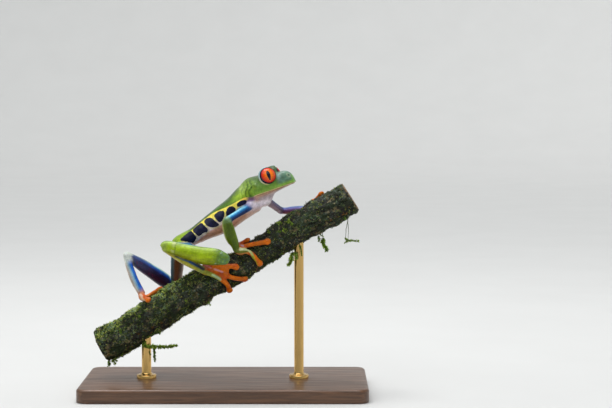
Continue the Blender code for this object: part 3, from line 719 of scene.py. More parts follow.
# Stripes of other colours on limbs, hands and feet, (x, z) as seen from the side: the line's middle,
# its half width and the colours of its two ends
STRIPES = {
    "right_hand": (
        (((2.4, 52.8), (3.6, 51.6), (5.8, 51.2), (8.3, 51.8)),
         0.45, (0.50, 0.24, 0.10), (0.58, 0.22, 0.05)),
        (((2.9, 53.4), (4.4, 52.5), (6.2, 52.3), (8.3, 52.5)),
         0.50, (0.085, 0.13, 0.004), (0.12, 0.18, 0.02)),
        (((5.8, 53.3), (8.7, 53.0), (9.8, 51.9), (10.6, 50.2)),
         0.40, (0.80, 0.90, 0.52), (0.26, 0.40, 0.05)),
        (((10.3, 50.4), (11.2, 48.7), (11.8, 47.0)),
         0.42, (0.32, 0.38, 0.02), (0.46, 0.36, 0.01)),
        (((6.1, 54.3), (6.9, 54.2)),
         0.18, LILAC, LILAC),
    ),
    "right_foot": (
        (((-8.2, 45.6), (-5.8, 44.4), (-3.6, 43.4), (-1.9, 42.4)),
         0.85, (0.27, 0.30, 0.02), (0.26, 0.38, 0.08)),
        # A mint streak over the green, a painted highlight
        (((-4.2, 43.9), (-2.2, 42.9), (-1.3, 42.2)),
         0.30, MINT, (0.48, 0.60, 0.42)),
        (((-2.2, 41.8), (-1.0, 40.6), (-0.1, 39.2)),
         0.36, (0.34, 0.32, 0.03), (0.44, 0.28, 0.01)),
        (((-7.4, 47.2), (-5.6, 46.6), (-4.7, 46.2)),
         0.24, (0.52, 0.16, 0.16), (0.60, 0.20, 0.14)),
        (((-3.6, 45.9), (-2.4, 45.5), (-0.6, 44.9)),
         0.22, (0.66, 0.32, 0.30), (0.62, 0.30, 0.34)),
    ),
    "left_hand": (
        (((31.6, 68.6), (34.6, 69.6), (37.5, 70.6)),
         0.5, MINT, (0.34, 0.36, 0.05)),
    ),
    # Along the seam of the folded shank and tarsus: the blue of the inner side, running into painted shade
    # in the gap between them
    "right_tarsus": (
        (((-17.3, 51.1), (-14.7, 49.9), (-12.1, 48.9)),
         0.26, (0.05, 0.06, 0.02), (0.02, 0.12, 0.34)),
        (((-12.1, 48.9), (-9.6, 47.5), (-7.2, 46.1)),
         0.40, (0.02, 0.10, 0.30), (0.015, 0.010, 0.03)),
    ),
    # Dark lines along the seam with the tarsus, painted shade in the gap
    "right_shank": (
        (((-19.0, 51.9), (-17.3, 51.1), (-14.7, 49.9)),
         0.16, (0.08, 0.10, 0.02), (0.03, 0.05, 0.03)),
        (((-12.9, 49.4), (-9.6, 47.6), (-7.2, 46.2)),
         0.30, (0.02, 0.10, 0.30), (0.015, 0.010, 0.03)),
    ),
    "left_foot": (
        (((-31.2, 35.4), (-30.0, 34.2), (-28.6, 33.0)),
         0.45, (0.60, 0.42, 0.30), (0.50, 0.30, 0.08)),
    ),
}
# Muscles fuller or, below 0, leaner than the solids': place along the limb and its spread, turn
# round it and its spread in degrees, and height in mm
SWELLS = {
    "right_shank": ((0.08, 0.20, 80, 55, 0.75), (0.38, 0.24, 275, 55, 0.85), (0.98, 0.19, 85, 60, 1.0),
                    (-0.03, 0.10, 0, 300, 0.35)),
    "right_forearm": ((0.50, 0.25, 90, 60, -0.25), (0.10, 0.20, 270, 60, 0.45),
                      (0.45, 0.25, 270, 60, 0.25), (0.92, 0.20, 270, 60, -0.8)),
    "right_tarsus": ((0.55, 0.30, 270, 60, 0.45), (0.55, 0.30, 80, 60, -0.45)),
    "left_thigh": ((0.5, 0.6, 90, 60, 0.3), (0.5, 0.6, 270, 60, 0.3)),
    "left_shank": ((0.95, 0.2, 270, 70, -0.4),),
}
# The middle of the blue over the shoulder, (x, z) as seen from the side
SHOULDER_BLUE = ((5.6, 67.2), (8.0, 68.6), (9.8, 69.5))
# Dark creases down the side of the neck, dented into the skin and darkened with painted shade: (x, half
# width, strength)
NECK_STREAKS = ((9.5, 0.42, 1.0), (8.1, 0.30, 0.8), (6.6, 0.22, 0.45), (11.4, 0.2, 0.35))


def limb_place(co, side, kind):
    """Share of the way along a limb length, turn round it in degrees, and its length."""
    name = side + "_" + kind
    root, end = (np.array(JOINTS[side][joint]) for joint in LENGTHS[kind])
    axis = end - root
    length = np.linalg.norm(axis)
    axis = axis / length
    outer = np.array((0.0, OUTER[side], 0.0))
    outer -= axis * (outer @ axis)
    outer /= np.linalg.norm(outer)
    fold = np.array(FOLD[name], dtype=float)
    fold -= axis * (fold @ axis) + outer * (fold @ outer)
    fold /= np.linalg.norm(fold)
    rel = co - root
    turn = np.degrees(np.arctan2(rel @ fold, rel @ outer)) % 360
    return rel @ axis / length, turn, length


def add_stripes(colours, co, name):
    """The colours with the part's stripes over them."""
    for path, half_width, first, last in STRIPES.get(name, ()):
        best, reach = path_distance(co, path)
        edge = best + 0.06 * noise_at(co, 1.5, 2)
        stripe = np.array(first) + (np.array(last) - np.array(first)) * reach[:, None]
        share = smooth_step(edge, half_width + 0.18, half_width - 0.12)
        colours = mixed(colours, stripe, 0.92 * share)
    return colours


def mark_far_shank(colours, co, t, angle):
    """Dark red spots on the lower side of the far shank."""
    spots = smooth_step(noise_at(co, 1.1, 2, 51.0), 0.30, 0.45) * smooth_step(t, 0.2, 0.5)
    return mixed(colours, (0.14, 0.015, 0.07), 0.6 * spots * smooth_step(angle, 130, 160))


def mark_near_shank(colours, co, t, angle):
    """Pale spots of painted highlight and darker green at the knee, the pale band at the heel, and painted
    shade in the creases at the heel and by the knee.
    """
    wave = 0.012 * noise_at(co, 0.9, 2, 5.0)
    # Pale spots on the knee, painted highlights
    spots = smooth_step(noise_at(co, 0.9, 2, 21.0), 0.28, 0.45) * smooth_step(t, 0.22, 0.12)
    colours = mixed(colours, (0.46, 0.60, 0.50), 0.6 * spots * smooth_step(t, -0.02, 0.04))
    band = hump(t + wave, 0.86, 0.03) * smooth_step(angle % 300, 10, 60)
    colours = mixed(colours, (0.58, 0.60, 0.34), 0.55 * band)
    cap = smooth_step(noise_at(co, 1.1, 3, 14.0), -0.1, 0.35) * smooth_step(t, 0.24, 0.08)
    colours = mixed(colours, (0.17, 0.30, 0.012), 0.65 * cap)
    # Painted shade in the creases
    crease = hump(t + wave, 0.825, 0.008)
    crease += 0.8 * hump(t + wave, 0.10, 0.012) * smooth_step(angle % 300, 60, 20)
    return mixed(colours, (0.07, 0.10, 0.02), np.clip(0.65 * crease, 0, 1))


SHANK_MARKS = {"left_shank": mark_far_shank, "right_shank": mark_near_shank}


def paint_limb(co, side, kind):
    """Colours round one limb length."""
    name = side + "_" + kind
    t, angle, length = limb_place(co, side, kind)
    colours = shade(angle, ROUND_LIMB[kind])
    # The white of the far heel runs on over its top
    reach = t - 0.06 * smooth_step(np.abs(angle - 90), 25, 60) if name == "left_shank" else t
    for share, start, stop, colour in LIMB_ENDS[name]:
        colours = mixed(colours, colour, share * smooth_step((reach - start) / (stop - start), 0, 1))
    # Faint streaks along the muscles
    places = np.stack([t * length * 0.16, np.sin(np.radians(angle)), np.cos(np.radians(angle))], 1)
    streaks = noise_at(places * (1, 3.4, 3.4), 1.0, 2, 4.0)
    streaks += 0.5 * noise_at(places * (2, 8, 8), 1.0, 2, 9.0)
    colours = colours * (1 + 0.30 * streaks)[:, None]
    if name in SHANK_MARKS:
        colours = SHANK_MARKS[name](colours, co, t, angle)
    return np.clip(add_stripes(colours, co, name), 0, 1)


def paint_extremity(co, name, orange):
    """Orange digits, pinker near the joint, with green and pink stripes."""
    side, kind = name.split("_")
    joint = np.array(JOINTS[side]["wrist" if kind == "hand" else "ankle"])
    near = np.linalg.norm(co - joint, axis=1)
    deep = tuple(c * f for c, f in zip(orange, (0.78, 0.52, 0.5)))
    root = (0.50, 0.18, 0.07) if side == "right" else (0.60, 0.24, 0.10)
    colours = shade(near, ((1.0, root), (3.0, (0.58, 0.15, 0.015)), (6.0, orange), (9.0, orange)))
    patches = noise_at(co, 0.5, 3, 6.0)
    colours = mixed(colours, deep, smooth_step(patches, -0.05, 0.45))
    return add_stripes(colours, co, name)


def paint_back(height, co, green):
    """Green of the back over the flank line."""
    # Greyer towards the top of the back: a painted sheen of the sky
    colours = shade(height, ((0, LEAF), (1.0, LEAF), (2.2, green), (5.0, SHEEN_GREY_GREEN)))
    # Brighter over the shoulder and the loin
    bright = hump(co[:, 0], 6.0, 2.9) * hump(height, 1.2, 1.5)
    colours = mixed(colours, (0.30, 0.46, 0.015), 0.95 * bright)
    colours = mixed(colours, (0.28, 0.43, 0.012), 0.85 * smooth_step(co[:, 0], -12.0, -14.5))
    # Greyer clouds on top, a painted sheen of the sky
    sheen_clouds = smooth_step(noise_at(co, 0.7, 3, 1.0), 0.05, 0.5)
    colours = mixed(colours, (0.13, 0.22, 0.11), 0.5 * sheen_clouds * smooth_step(height, 0.8, 2.5))
    return colours * (1 + 0.22 * noise_at(co * (2.2, 1.0, 0.5), 0.8, 3, 2.0))[:, None]


def neck_streaks(colours, co):
    """Painted shade in the folds down the side of the neck, brighter between."""
    x, _, z = co.T
    shown = smooth_step(z, 70.6, 72.2) * smooth_step(z, 80.0, 76.5)
    wave = 0.35 * np.sin(z * 1.3) + 0.3 * noise_at(co, 0.5, 3, 3.0)
    broken = np.clip(0.85 + 0.5 * noise_at(co, 0.7, 2, 17.0), 0, 1)
    lit = hump(x, 8.4, 3.0) * shown * (0.7 + 0.6 * noise_at(co, 1.2, 2, 31.0))
    colours = mixed(colours, (0.33, 0.50, 0.03), 0.7 * np.clip(lit, 0, 1))
    pale = hump(x, 6.5, 1.3) * hump(z, 74.8, 1.7) * (1 + noise_at(co, 1.3, 2, 41.0))
    colours = mixed(colours, (0.46, 0.62, 0.18), 0.6 * np.clip(pale, 0, 1))
    # Painted shade in each fold
    for place, half_width, strength in NECK_STREAKS:
        streak = hump(x + wave, place, half_width)
        colours = mixed(colours, (0.020, 0.075, 0.008), strength * streak * shown * broken)
    return colours


def paint_under(co, height, panel, yellow):
    """Yellow line and bars, white fringe and pink belly under the flank line."""
    x = co[:, 0]
    depth = -height
    pale = (0.60, 0.57, 0.26)
    flank = shade(depth, ((0, yellow), (1.4, yellow), (3.0, pale), (3.5, LILAC), (4.0, WHITE),
                          (4.7, WHITE), (5.4, PINK), (7.5, TAN), (11.0, PINK)))
    # Lime green at the loin, and the dark fringe under the rear panels
    rear = mixed(flank, (0.36, 0.50, 0.02), smooth_step(x, -11.4, -12.6) * smooth_step(depth, 1.5, 0.9))
    fringe = hump(depth, 3.5, 0.45) * smooth_step(x, -8.6, -10.4)
    flank = mixed(rear, (0.05, 0.03, 0.14), 0.8 * fringe)
    # The yellow of the bars runs on round the lower edge of the panels
    hem = hump(panel, 0.42, 0.26) * smooth_step(depth, 2.4, 3.0) * smooth_step(x, -12, -9.5)
    flank = mixed(flank, (0.50, 0.44, 0.16), 0.75 * hem)
    # The orange front end of the line, and the purple in front of the first panel
    tip = hump(x, 7.6, 1.2) * smooth_step(depth, 1.4, 0.9)
    flank = mixed(flank, (0.88, 0.52, 0.09), 0.7 * tip)
    purple = mixed(flank, (0.13, 0.06, 0.17), smooth_step(depth, 1.0, 1.4) * smooth_step(depth, 4.6, 3.2))
    flank = mixed(flank, purple, smooth_step(x, 6.2, 7.4))
    # The dark edge of the green over the pale chest
    chest = shade(depth, ((0, (0.13, 0.17, 0.05)), (0.5, (0.15, 0.08, 0.12)), (1.0, (0.12, 0.06, 0.12)),
                          (1.5, (0.24, 0.16, 0.32)), (2.1, (0.94, 0.86, 0.92)), (4.0, (0.88, 0.78, 0.88)),
                          (5.8, (0.70, 0.46, 0.38)), (9.5, TAN)))
    rosy = smooth_step(x, 10.2, 12.0) * smooth_step(depth, 3.0, 1.8)
    chest = mixed(chest, (0.52, 0.30, 0.26), 0.85 * rosy)
    colours = mixed(flank, chest, smooth_step(x, 7.2, 9.4))
    # The blue of the arm runs on over the shoulder
    best, reach = path_distance(co, SHOULDER_BLUE)
    cuff = np.array((0.02, 0.24, 0.58)) + reach[:, None] * np.array((0.22, -0.06, -0.06))
    colours = mixed(colours, cuff, smooth_step(best, 1.3, 0.5) * (1 - 0.75 * reach ** 2))
    granules = noise_at(co, 0.9, 3, 12.0)
    return colours * (1 + 0.16 * granules)[:, None]


def paint_throat(co, depth):
    """Cream lip over the pink jaw and the pale throat."""
    # The darker tan at 0.46 lies in the groove of the mouth under the cream lip and is painted shade
    colours = shade(depth, ((0.1, CREAM), (0.32, (0.70, 0.58, 0.26)), (0.46, (0.42, 0.22, 0.12)),
                            (1.0, (0.52, 0.32, 0.24)), (2.2, (0.60, 0.50, 0.54)), (4.0, (0.90, 0.82, 0.88)),
                            (8.0, PINK)))
    return colours * (1 + 0.12 * noise_at(co, 0.8, 3, 13.0))[:, None]


def paint_head(co, local, eyes):
    """Green of the head over the lip, and its lids."""
    f, l, n = local.T
    l = np.abs(l)
    # Greyer towards the crown: a painted sheen of the sky
    colours = shade(n, ((-5.3, (0.20, 0.35, 0.045)), (-3.8, (0.125, 0.255, 0.035)),
                        (-1.0, (0.10, 0.20, 0.05)), (0.5, SHEEN_GREY_GREEN)))
    # Yellower towards the neck, greyer on the snout
    colours = mixed(colours, (0.24, 0.36, 0.03), 0.6 * smooth_step(f, -7.0, -11.0)
                    * smooth_step(n, -0.5, -3.5))
    snout = smooth_step(f, 2.2, 4.2) * smooth_step(n, -4.9, -3.7)
    tone = np.array((0.095, 0.19, 0.135)) * (1 + 0.35 * noise_at(co * (0.5, 0.5, 2.4), 0.9, 2))[:, None]
    colours = mixed(colours, tone, 0.9 * snout)
    # The pale patch before the eye, the pale ridge to the nostril and the snout's green tip
    pale = hump(f, 3.7, 0.7) * hump(n, -1.2, 1.5) * hump(l, 5.0, 2.0)
    colours = mixed(colours, (0.24, 0.34, 0.36), 0.75 * pale)
    ridge = hump(n + 0.35 + 0.22 * np.maximum(f - 5, 0), 0, 0.4)
    ridge *= smooth_step(f, 4.0, 5.0) * smooth_step(l, 1.4, 2.2)
    colours = mixed(colours, (0.30, 0.44, 0.36), 0.65 * ridge)
    colours = mixed(colours, (0.16, 0.38, 0.05), 0.8 * smooth_step(f, 7.5, 8.1))
    # Nostril, with a pale ring round it and painted shade in its hole, and eardrum
    hole = np.linalg.norm(np.stack([f, l, n], 1) - np.array(NOSTRIL_PLACE), axis=1)
    colours = mixed(colours, (0.34, 0.42, 0.26), 0.6 * hump(hole, 0.75, 0.25))
    colours = mixed(colours, (0.012, 0.018, 0.008), smooth_step(hole, 0.42, 0.22))
    drum = np.hypot(f - EARDRUM_PLACE.x, n - EARDRUM_PLACE.z)
    colours = mixed(colours, (0.20, 0.26, 0.03), 0.5 * smooth_step(drum, 1.0, 0.4) * smooth_step(l, 5, 6))
    colours = neck_streaks(colours, co)
    # The pale rims of the lids, cream below and pale blue towards the top, where the pale blue is a painted
    # highlight
    for eye in eyes:
        x, y, z = eye.T
        far = np.hypot(x, y)
        turn = np.arctan2(y, -x)
        shown = smooth_step(z, -0.4, 0.5)
        rim = smooth_step(far, LID_EDGE + 0.10, LID_EDGE - 0.06) * shown
        rear = smooth_step(np.cos(turn - 0.30), -0.30, 0.35)
        rim_pale = shade(np.sin(turn), ((-0.9, (0.60, 0.50, 0.22)), (-0.2, (0.58, 0.62, 0.50)),
                                        (0.4, (0.42, 0.62, 0.68))))
        colours = mixed(colours, (0.07, 0.17, 0.03), 0.5 * rim)
        colours = mixed(colours, rim_pale, rim * rear)
        # A lighter band over the top of each lid, a painted highlight
        brow = hump(far, 3.7, 0.3) * shown * smooth_step(y, -0.5, 1.0)
        colours = mixed(colours, (0.16, 0.28, 0.16), 0.4 * brow)
    return colours


def shape_skin(co, normals, shares, local, eyes):
    """Dents, folds and lumps too fine for the solids."""
    f, l, n = local.T
    side = np.abs(l)
    push = np.zeros(len(co))
    head = shares["head"]
    # Nostrils, each with a low rim
    far = np.linalg.norm(np.stack([f, side, n], 1) - np.array(NOSTRIL_PLACE), axis=1)
    push -= 0.45 * hump(far, 0, 0.32)
    push += 0.12 * hump(far, 0.7, 0.28)
    # The line of the mouth under the lip, out to its corner behind the eye
    shown = head * smooth_step(f, -7.2, -6.2)
    lip = smooth_step(side, 0.8, 1.4) * shown
    push -= 0.26 * lip * hump(n - MOUTH_HEIGHT, -0.36, 0.24)
    push += 0.10 * lip * hump(n - MOUTH_HEIGHT, 0.05, 0.26)
    # The ridge from eye to nostril and the hollow below it
    push += 0.16 * hump(n + 0.5 + 0.2 * np.maximum(f - 5, 0), 0, 0.5) * head * (
        smooth_step(f, 3.6, 4.6) * smooth_step(f, 8.0, 7.2) * smooth_step(side, 1.2, 2.0))
    push -= 0.25 * head * hump(f, 5.2, 1.6) * hump(n, -2.9, 1.1) * smooth_step(side, 2, 3)
    # The fold of skin from the eye over the eardrum towards the shoulder
    arc = n + 0.9 + 0.055 * (f + 2.0) ** 2
    push += 0.10 * head * hump(arc, 0, 0.4) * smooth_step(f, -2.5, -3.6) * smooth_step(side, 5, 6)
    drum = np.linalg.norm(np.stack([f, n], 1) - np.array((EARDRUM_PLACE.x, EARDRUM_PLACE.z)), axis=1)
    ring = hump(drum, 1.15, 0.2) - 0.5 * hump(drum, 0, 0.7)
    push += 0.07 * head * ring * smooth_step(side, 5.5, 6.5)
    # The crease between the neck and the shoulder
    x, _, z = co.T
    neck = smooth_step(z, 72.0, 74.5) * smooth_step(z, 79.5, 77.0) * smooth_step(np.abs(co[:, 1]), 3, 4.5)
    wave = 0.35 * np.sin(z * 1.3)
    for place, half_width, strength in NECK_STREAKS:
        push -= 0.07 * strength * neck * hump(x + wave, place, half_width + 0.15)
    # Soft lumps of flesh and small folds behind the arms and knees
    push += 0.05 * noise_at(co, 0.32) + 0.022 * noise_at(co, 1.1, 2, 7.0)
    trunk = shares["torso"]
    along, height = along_side_line(co)
    folds = np.sin(along * 2.1 + 1.5 * noise_at(co, 0.3, 2, 3.0))
    push += 0.05 * trunk * folds * smooth_step(height, 0.5, -2.0) * smooth_step(height, -8.0, -5.0)
    co = co + normals * push[:, None]
    # Thin lids round the wide eyeball
    for hand, eye in zip((1, -1), eyes):
        matrix = np.array(eye_matrix(hand))
        x, y, z = eye.T
        far = np.hypot(x, y)
        held = (far < LID_EDGE) & (z > 0.1) & (z < 2.4) & (far > 1.6)
        thinning = (LID_EDGE - LID_OPENING) / (LID_EDGE - LID_ROOT)
        thin = LID_EDGE - (LID_EDGE - np.maximum(far, LID_ROOT)) * thinning
        out = np.where(held, thin - far, 0.0) / np.maximum(far, 1e-6)
        co = co + out[:, None] * (x[:, None] * matrix[:3, 0] + y[:, None] * matrix[:3, 1])
        if hand > 0:
            # The front of the left lid is drawn back and shows the eyeball
            eye = seen_from(eye_matrix(hand), co)
            x, y, z = eye.T
            out = np.linalg.norm(eye, axis=1)
            edge = BARE_EDGE - 1.1 * smooth_step(z, 0.1, 0.8)
            bare = smooth_step(x - edge, 0.0, 0.14) * smooth_step(z, -1.2, -0.7)
            bare *= smooth_step(out, 4.3, 3.8)
            back = (np.minimum(BARE_DEPTH - out, 0) * bare / np.maximum(out, 1e-6))[:, None]
            co = co + back * (eye @ matrix[:3, :3].T)
    return co


def skin_material(look):
    material, tree, shader = new_material(
        "frog_skin", Coat_Weight=0.26, Coat_Roughness=0.12, Coat_IOR=1.35, Specular_IOR_Level=0.16,
        Subsurface_Weight=0.06, Subsurface_Radius=(0.7, 0.35, 0.15), Subsurface_Scale=0.0008)
    here = place_mm(tree)
    paint = add(tree, "Attribute", attribute_name="paint").outputs["Color"]
    under = add(tree, "Attribute", attribute_name="under").outputs["Color"]
    edge, panel, jaw = parts_of(tree, "marks")
    fine = add_noise(tree, here, 1.6, 4.0, 0.6)
    broad = add_noise(tree, here, 0.42, 3.0, 0.55)
    cells = add(tree, "TexVoronoi", {"Vector": here, "Scale": 2.6, "Randomness": 1.0})
    grains = add(tree, "TexVoronoi", {"Vector": here, "Scale": 4.6, "Randomness": 0.9})
    wander = maths(tree, "MULTIPLY_ADD", fine, 0.22, -0.11)
    over = fade(tree, maths(tree, "ADD", edge, wander), -0.16, 0.0)
    colour = blend_colours(tree, over, under, paint)
    inside = fade(tree, maths(tree, "ADD", panel, wander), 0.20, 0.06)
    cloud = maths(tree, "MULTIPLY", fade(tree, broad, 0.52, 0.75), 0.7)
    navy = blend_colours(tree, cloud, look.panel_navy[:], (0.012, 0.010, 0.050))
    colour = blend_colours(tree, inside, colour, navy)
    # Painted shade in the groove of the mouth, darkest at its own height
    line = maths(tree, "ABSOLUTE", maths(tree, "ADD", edge, 0.47))
    line = maths(tree, "MULTIPLY", fade(tree, line, 0.13, 0.03), jaw)
    colour = blend_colours(tree, maths(tree, "MULTIPLY", line, 0.6), colour, (0.14, 0.055, 0.03))
    # Mottling: darker and yellower flecks, and pale flecks that are partly pores and partly painted glints
    # of the wet skin
    colour = darkened(tree, colour, fade(tree, broad, 0.30, 0.72, 0.84, 1.14))
    colour = darkened(tree, colour, fade(tree, fine, 0.40, 0.66, 0.88, 1.10))
    pores = fade(tree, grains.outputs["Distance"], 0.16, 0.05, 0.0, 0.07)
    colour = blend_colours(tree, pores, colour, (0.75, 0.80, 0.55), "SCREEN")
    tree.links.new(colour, shader.inputs["Base Color"])
    tree.links.new(fade(tree, fine, 0.3, 0.7, 0.30, 0.46), shader.inputs["Roughness"])
    normal = bump(tree, cells.outputs["Distance"], 0.28, 0.10)
    normal = bump(tree, grains.outputs["Distance"], 0.25, 0.05, normal)
    normal = bump(tree, fine, 0.25, 0.14, normal)
    tree.links.new(normal, shader.inputs["Normal"])
    return material


class FROG_OT_skin(bpy.types.Operator):
    """One moist skin over all the flesh, with its markings"""

    bl_idname = "tree_frog.skin"
    bl_label = "Skin"

    def execute(self, context):
        look = context.scene.frog_look
        flesh, trees = joined_flesh()
        obj = voxel_object("frog_skin", flesh, look.skin_voxel)
        mesh = obj.data
        edges = get_edges(mesh)
        co = relaxed(get_points(mesh), edges, 5)
        shares = part_shares(co, edges, trees)
        head = head_matrix()
        joint = np.full(len(co), 1e9)
        for places in JOINTS.values():
            for place in places.values():
                joint = np.minimum(joint, np.linalg.norm(co - np.array(place), axis=1))
        neck = np.linalg.norm(seen_from(head, co) - np.array(NECK_PLACE), axis=1)
        seam = np.maximum(smooth_step(joint, 4.2, 2.6), smooth_step(neck, 11.5, 9.5) * shares["torso"])
        co = relaxed(co, edges, 14, 0.5 * seam)
        set_points(mesh, co)
        co = relaxed(co + get_normals(mesh) * self.swell(co, shares)[:, None], edges, 2)
        set_points(mesh, co)
        normals = get_normals(mesh)
        local = seen_from(head, co)
        eyes = [seen_from(eye_matrix(hand), co) for hand in (1, -1)]
        co = shape_skin(co, normals, shares, local, eyes)
        set_points(mesh, co)
        self.paint(mesh, co, shares, look)
        finish_piece(obj, skin_material(look), "skin", *PARTS)
        return {"FINISHED"}

    def swell(self, co, shares):
        """Height of the fuller muscles over the solids' limbs."""
        push = np.zeros(len(co))
        for name in PARTS:
            if name not in ("head", "torso"):
                push += LIMB_RISE * shares[name]
        for name, swells in SWELLS.items():
            side, kind = name.split("_", 1)
            t, angle, _ = limb_place(co, side, kind)
            share = shares[name].copy()
            if kind == "shank":
                share += shares[side + "_tarsus"] * smooth_step(t, 0.75, 0.9)
            for place, spread, turn, width, high in swells:
                off = (angle - turn + 180) % 360 - 180
                push += high * share * hump(t, place, spread) * hump(off, 0, width)
        # The hump of the nape
        x, y, z = co.T
        nape = hump(x, NAPE_X, 2.8) * hump(y, 0, 5.0) * smooth_step(z, 71.5, 74.5)
        return push + NAPE_RISE * nape * (shares["head"] + shares["torso"])

    def paint(self, mesh, co, shares, look):
        """Colours and marks on the points of the skin."""
        local = seen_from(head_matrix(), co)
        eyes = [seen_from(eye_matrix(hand), co) for hand in (1, -1)]
        _, height = along_side_line(co)
        # The top of the back is green also where the flank line runs as high as it
        top = smooth_step(np.abs(co[:, 1]), 3.6, 2.2) * smooth_step(height, -4.2, -2.8)
        height = height + TOP_LIFT * top
        panel = panel_distance(co) + TOP_LIFT * top
        f, _, n = local.T
        fore = smooth_step(f, -10.5, -7.5) * shares["head"]
        height = height * (1 - fore) + (n - MOUTH_HEIGHT - 0.12) * fore
        paint = neck_streaks(paint_back(height, co, look.back_green[:]), co)
        paint = mixed(paint, paint_head(co, local, eyes), smooth_step(f, -11.5, -8.5) * shares["head"])
        under = mixed(paint_under(co, height, panel, look.line_yellow[:]), paint_throat(co, -height), fore)
        limbs = np.zeros((len(co), 3))
        limb_share = np.zeros(len(co))
        for name in PARTS:
            if name in ("head", "torso"):
                continue
            side, kind = name.split("_", 1)
            if kind in ("hand", "foot"):
                colours = paint_extremity(co, name, look.toe_orange[:])
            else:
                colours = paint_limb(co, side, kind)
            limbs += colours * shares[name][:, None]
            limb_share += shares[name]
        whole = np.maximum(limb_share, 1e-6)
        limbs /= whole[:, None]
        paint = mixed(paint, limbs, limb_share)
        under = mixed(under, limbs, limb_share)
        panel = panel + OFF_PANEL * (limb_share + fore)
        set_colour(mesh, "paint", paint)
        set_colour(mesh, "under", under)
        set_vector(mesh, "marks", np.stack([height, panel, fore], 1))


# The eyes

def eye_material(look):
    material, tree, shader = new_material(
        "frog_eye", Coat_Weight=1.0, Coat_Roughness=0.02, Coat_IOR=1.36, Specular_IOR_Level=0.05)
    ball = add(tree, "Attribute", attribute_name="ball").outputs["Vector"]
    split = add(tree, "SeparateXYZ", {0: ball})
    x, y, z = split.outputs
    flat = add(tree, "CombineXYZ", {0: maths(tree, "SUBTRACT", x, 0.10),
                                    1: maths(tree, "SUBTRACT", y, 0.035)}).outputs[0]
    far = add(tree, "VectorMath", {0: flat}, operation="LENGTH").outputs["Value"]
    toward = add(tree, "VectorMath", {0: flat}, operation="NORMALIZE").outputs[0]
    spokes = add(tree, "VectorMath", {0: toward, "Scale": 9.0}, operation="SCALE").outputs[0]
    reach = add(tree, "CombineXYZ", {2: maths(tree, "MULTIPLY", far, 2.2)}).outputs[0]
    rays = add_noise(tree, add(tree, "VectorMath", {0: spokes, 1: reach}).outputs[0], 1.0, 4.0, 0.6)
    wander = add_noise(tree, ball, 3.2, 3.0, 0.5)
    place = maths(tree, "MULTIPLY_ADD", maths(tree, "SUBTRACT", rays, 0.5), 0.22, far)
    ramp = add(tree, "ValToRGB", {0: place})
    stops = ((0.0, look.iris_orange[:]), (0.40, look.iris_orange[:]), (0.64, (0.78, 0.075, 0.003)),
             (0.82, look.iris_red[:]), (0.91, (0.16, 0.005, 0.004)))
    ramp.color_ramp.elements[0].position = 0.0
    ramp.color_ramp.elements[1].position = stops[-1][0]
    for position, _ in stops[1:-1]:
        ramp.color_ramp.elements.new(position)
    for element, (_, colour) in zip(ramp.color_ramp.elements, stops):
        element.color = (*colour, 1.0)
    veins = fade(tree, rays, 0.35, 0.7, 0.75, 1.25)
    iris = darkened(tree, ramp.outputs["Color"], veins)
    rim = fade(tree, maths(tree, "MULTIPLY_ADD", wander, 0.04, far), 0.90, 0.935)
    front = fade(tree, z, 0.0, 0.12, 1.0, 0.0)
    outside = maths(tree, "MAXIMUM", rim, front)
    colour = blend_colours(tree, outside, iris, (0.003, 0.006, 0.025))
    # The upright slit of the pupil, blunt above and pointed below
    high = maths(tree, "DIVIDE", maths(tree, "ADD", y, 0.06), 0.59)
    taper = maths(tree, "MAXIMUM", maths(tree, "SUBTRACT", 1.0, maths(tree, "MULTIPLY", high, high)), 0.0)
    taper = maths(tree, "POWER", taper, 0.58)
    wide = maths(tree, "MULTIPLY", taper, maths(tree, "MULTIPLY_ADD", high, 0.06, 0.20))
    inside = maths(tree, "SUBTRACT", maths(tree, "ABSOLUTE", x), wide)
    beyond = maths(tree, "SUBTRACT", maths(tree, "ABSOLUTE", high), 1.0)
    inside = maths(tree, "MAXIMUM", inside, maths(tree, "MULTIPLY", beyond, 0.4))
    gold = maths(tree, "MULTIPLY", fade(tree, inside, 0.075, 0.0), fade(tree, z, 0.0, 0.2))
    colour = blend_colours(tree, maths(tree, "MULTIPLY", gold, 0.45), colour, (0.90, 0.32, 0.03))
    slit = maths(tree, "MULTIPLY", fade(tree, inside, 0.012, -0.012), fade(tree, z, 0.0, 0.1))
    colour = blend_colours(tree, slit, colour, (0.001, 0.003, 0.014))
    tree.links.new(colour, shader.inputs["Base Color"])
    tree.links.new(fade(tree, rays, 0.2, 0.8, 0.35, 0.55), shader.inputs["Roughness"])
    tree.links.new(bump(tree, rays, 0.12, 0.05), shader.inputs["Normal"])
    return material


class FROG_OT_eyes(bpy.types.Operator):
    """Two wet eyeballs with red irises and upright pupils"""

    bl_idname = "tree_frog.eyes"
    bl_label = "Eyes"

    def execute(self, context):
        look = context.scene.frog_look
        material = eye_material(look)
        radius = look.eye_radius
        for side, hand in (("left", 1), ("right", -1)):
            bm = bmesh.new()
            bmesh.ops.create_uvsphere(bm, u_segments=96, v_segments=64, radius=radius)
            shape = np.array([v.co for v in bm.verts]) / radius
            # A flattened ball whose clear front stands out a little
            for vert in bm.verts:
                vert.co.z *= 0.90 + 0.03 * max(vert.co.z / radius, 0.0) ** 2
            # The left eye looks a little further ahead
            ahead = Matrix.Rotation(math.radians(12 if side == "left" else 0), 4, "Y")
            bmesh.ops.transform(bm, matrix=eye_matrix(hand) @ ahead, verts=bm.verts)
            bmesh.ops.recalc_face_normals(bm, faces=bm.faces)
            obj = new_object("frog_eye_" + side, bm)
            set_vector(obj.data, "ball", shape)
            finish_piece(obj, material, "eye", "eye_" + side)
        return {"FINISHED"}


# The perch

GRAIN_SLOPE = math.radians(31)
MEAN_RADIUS = 6.2
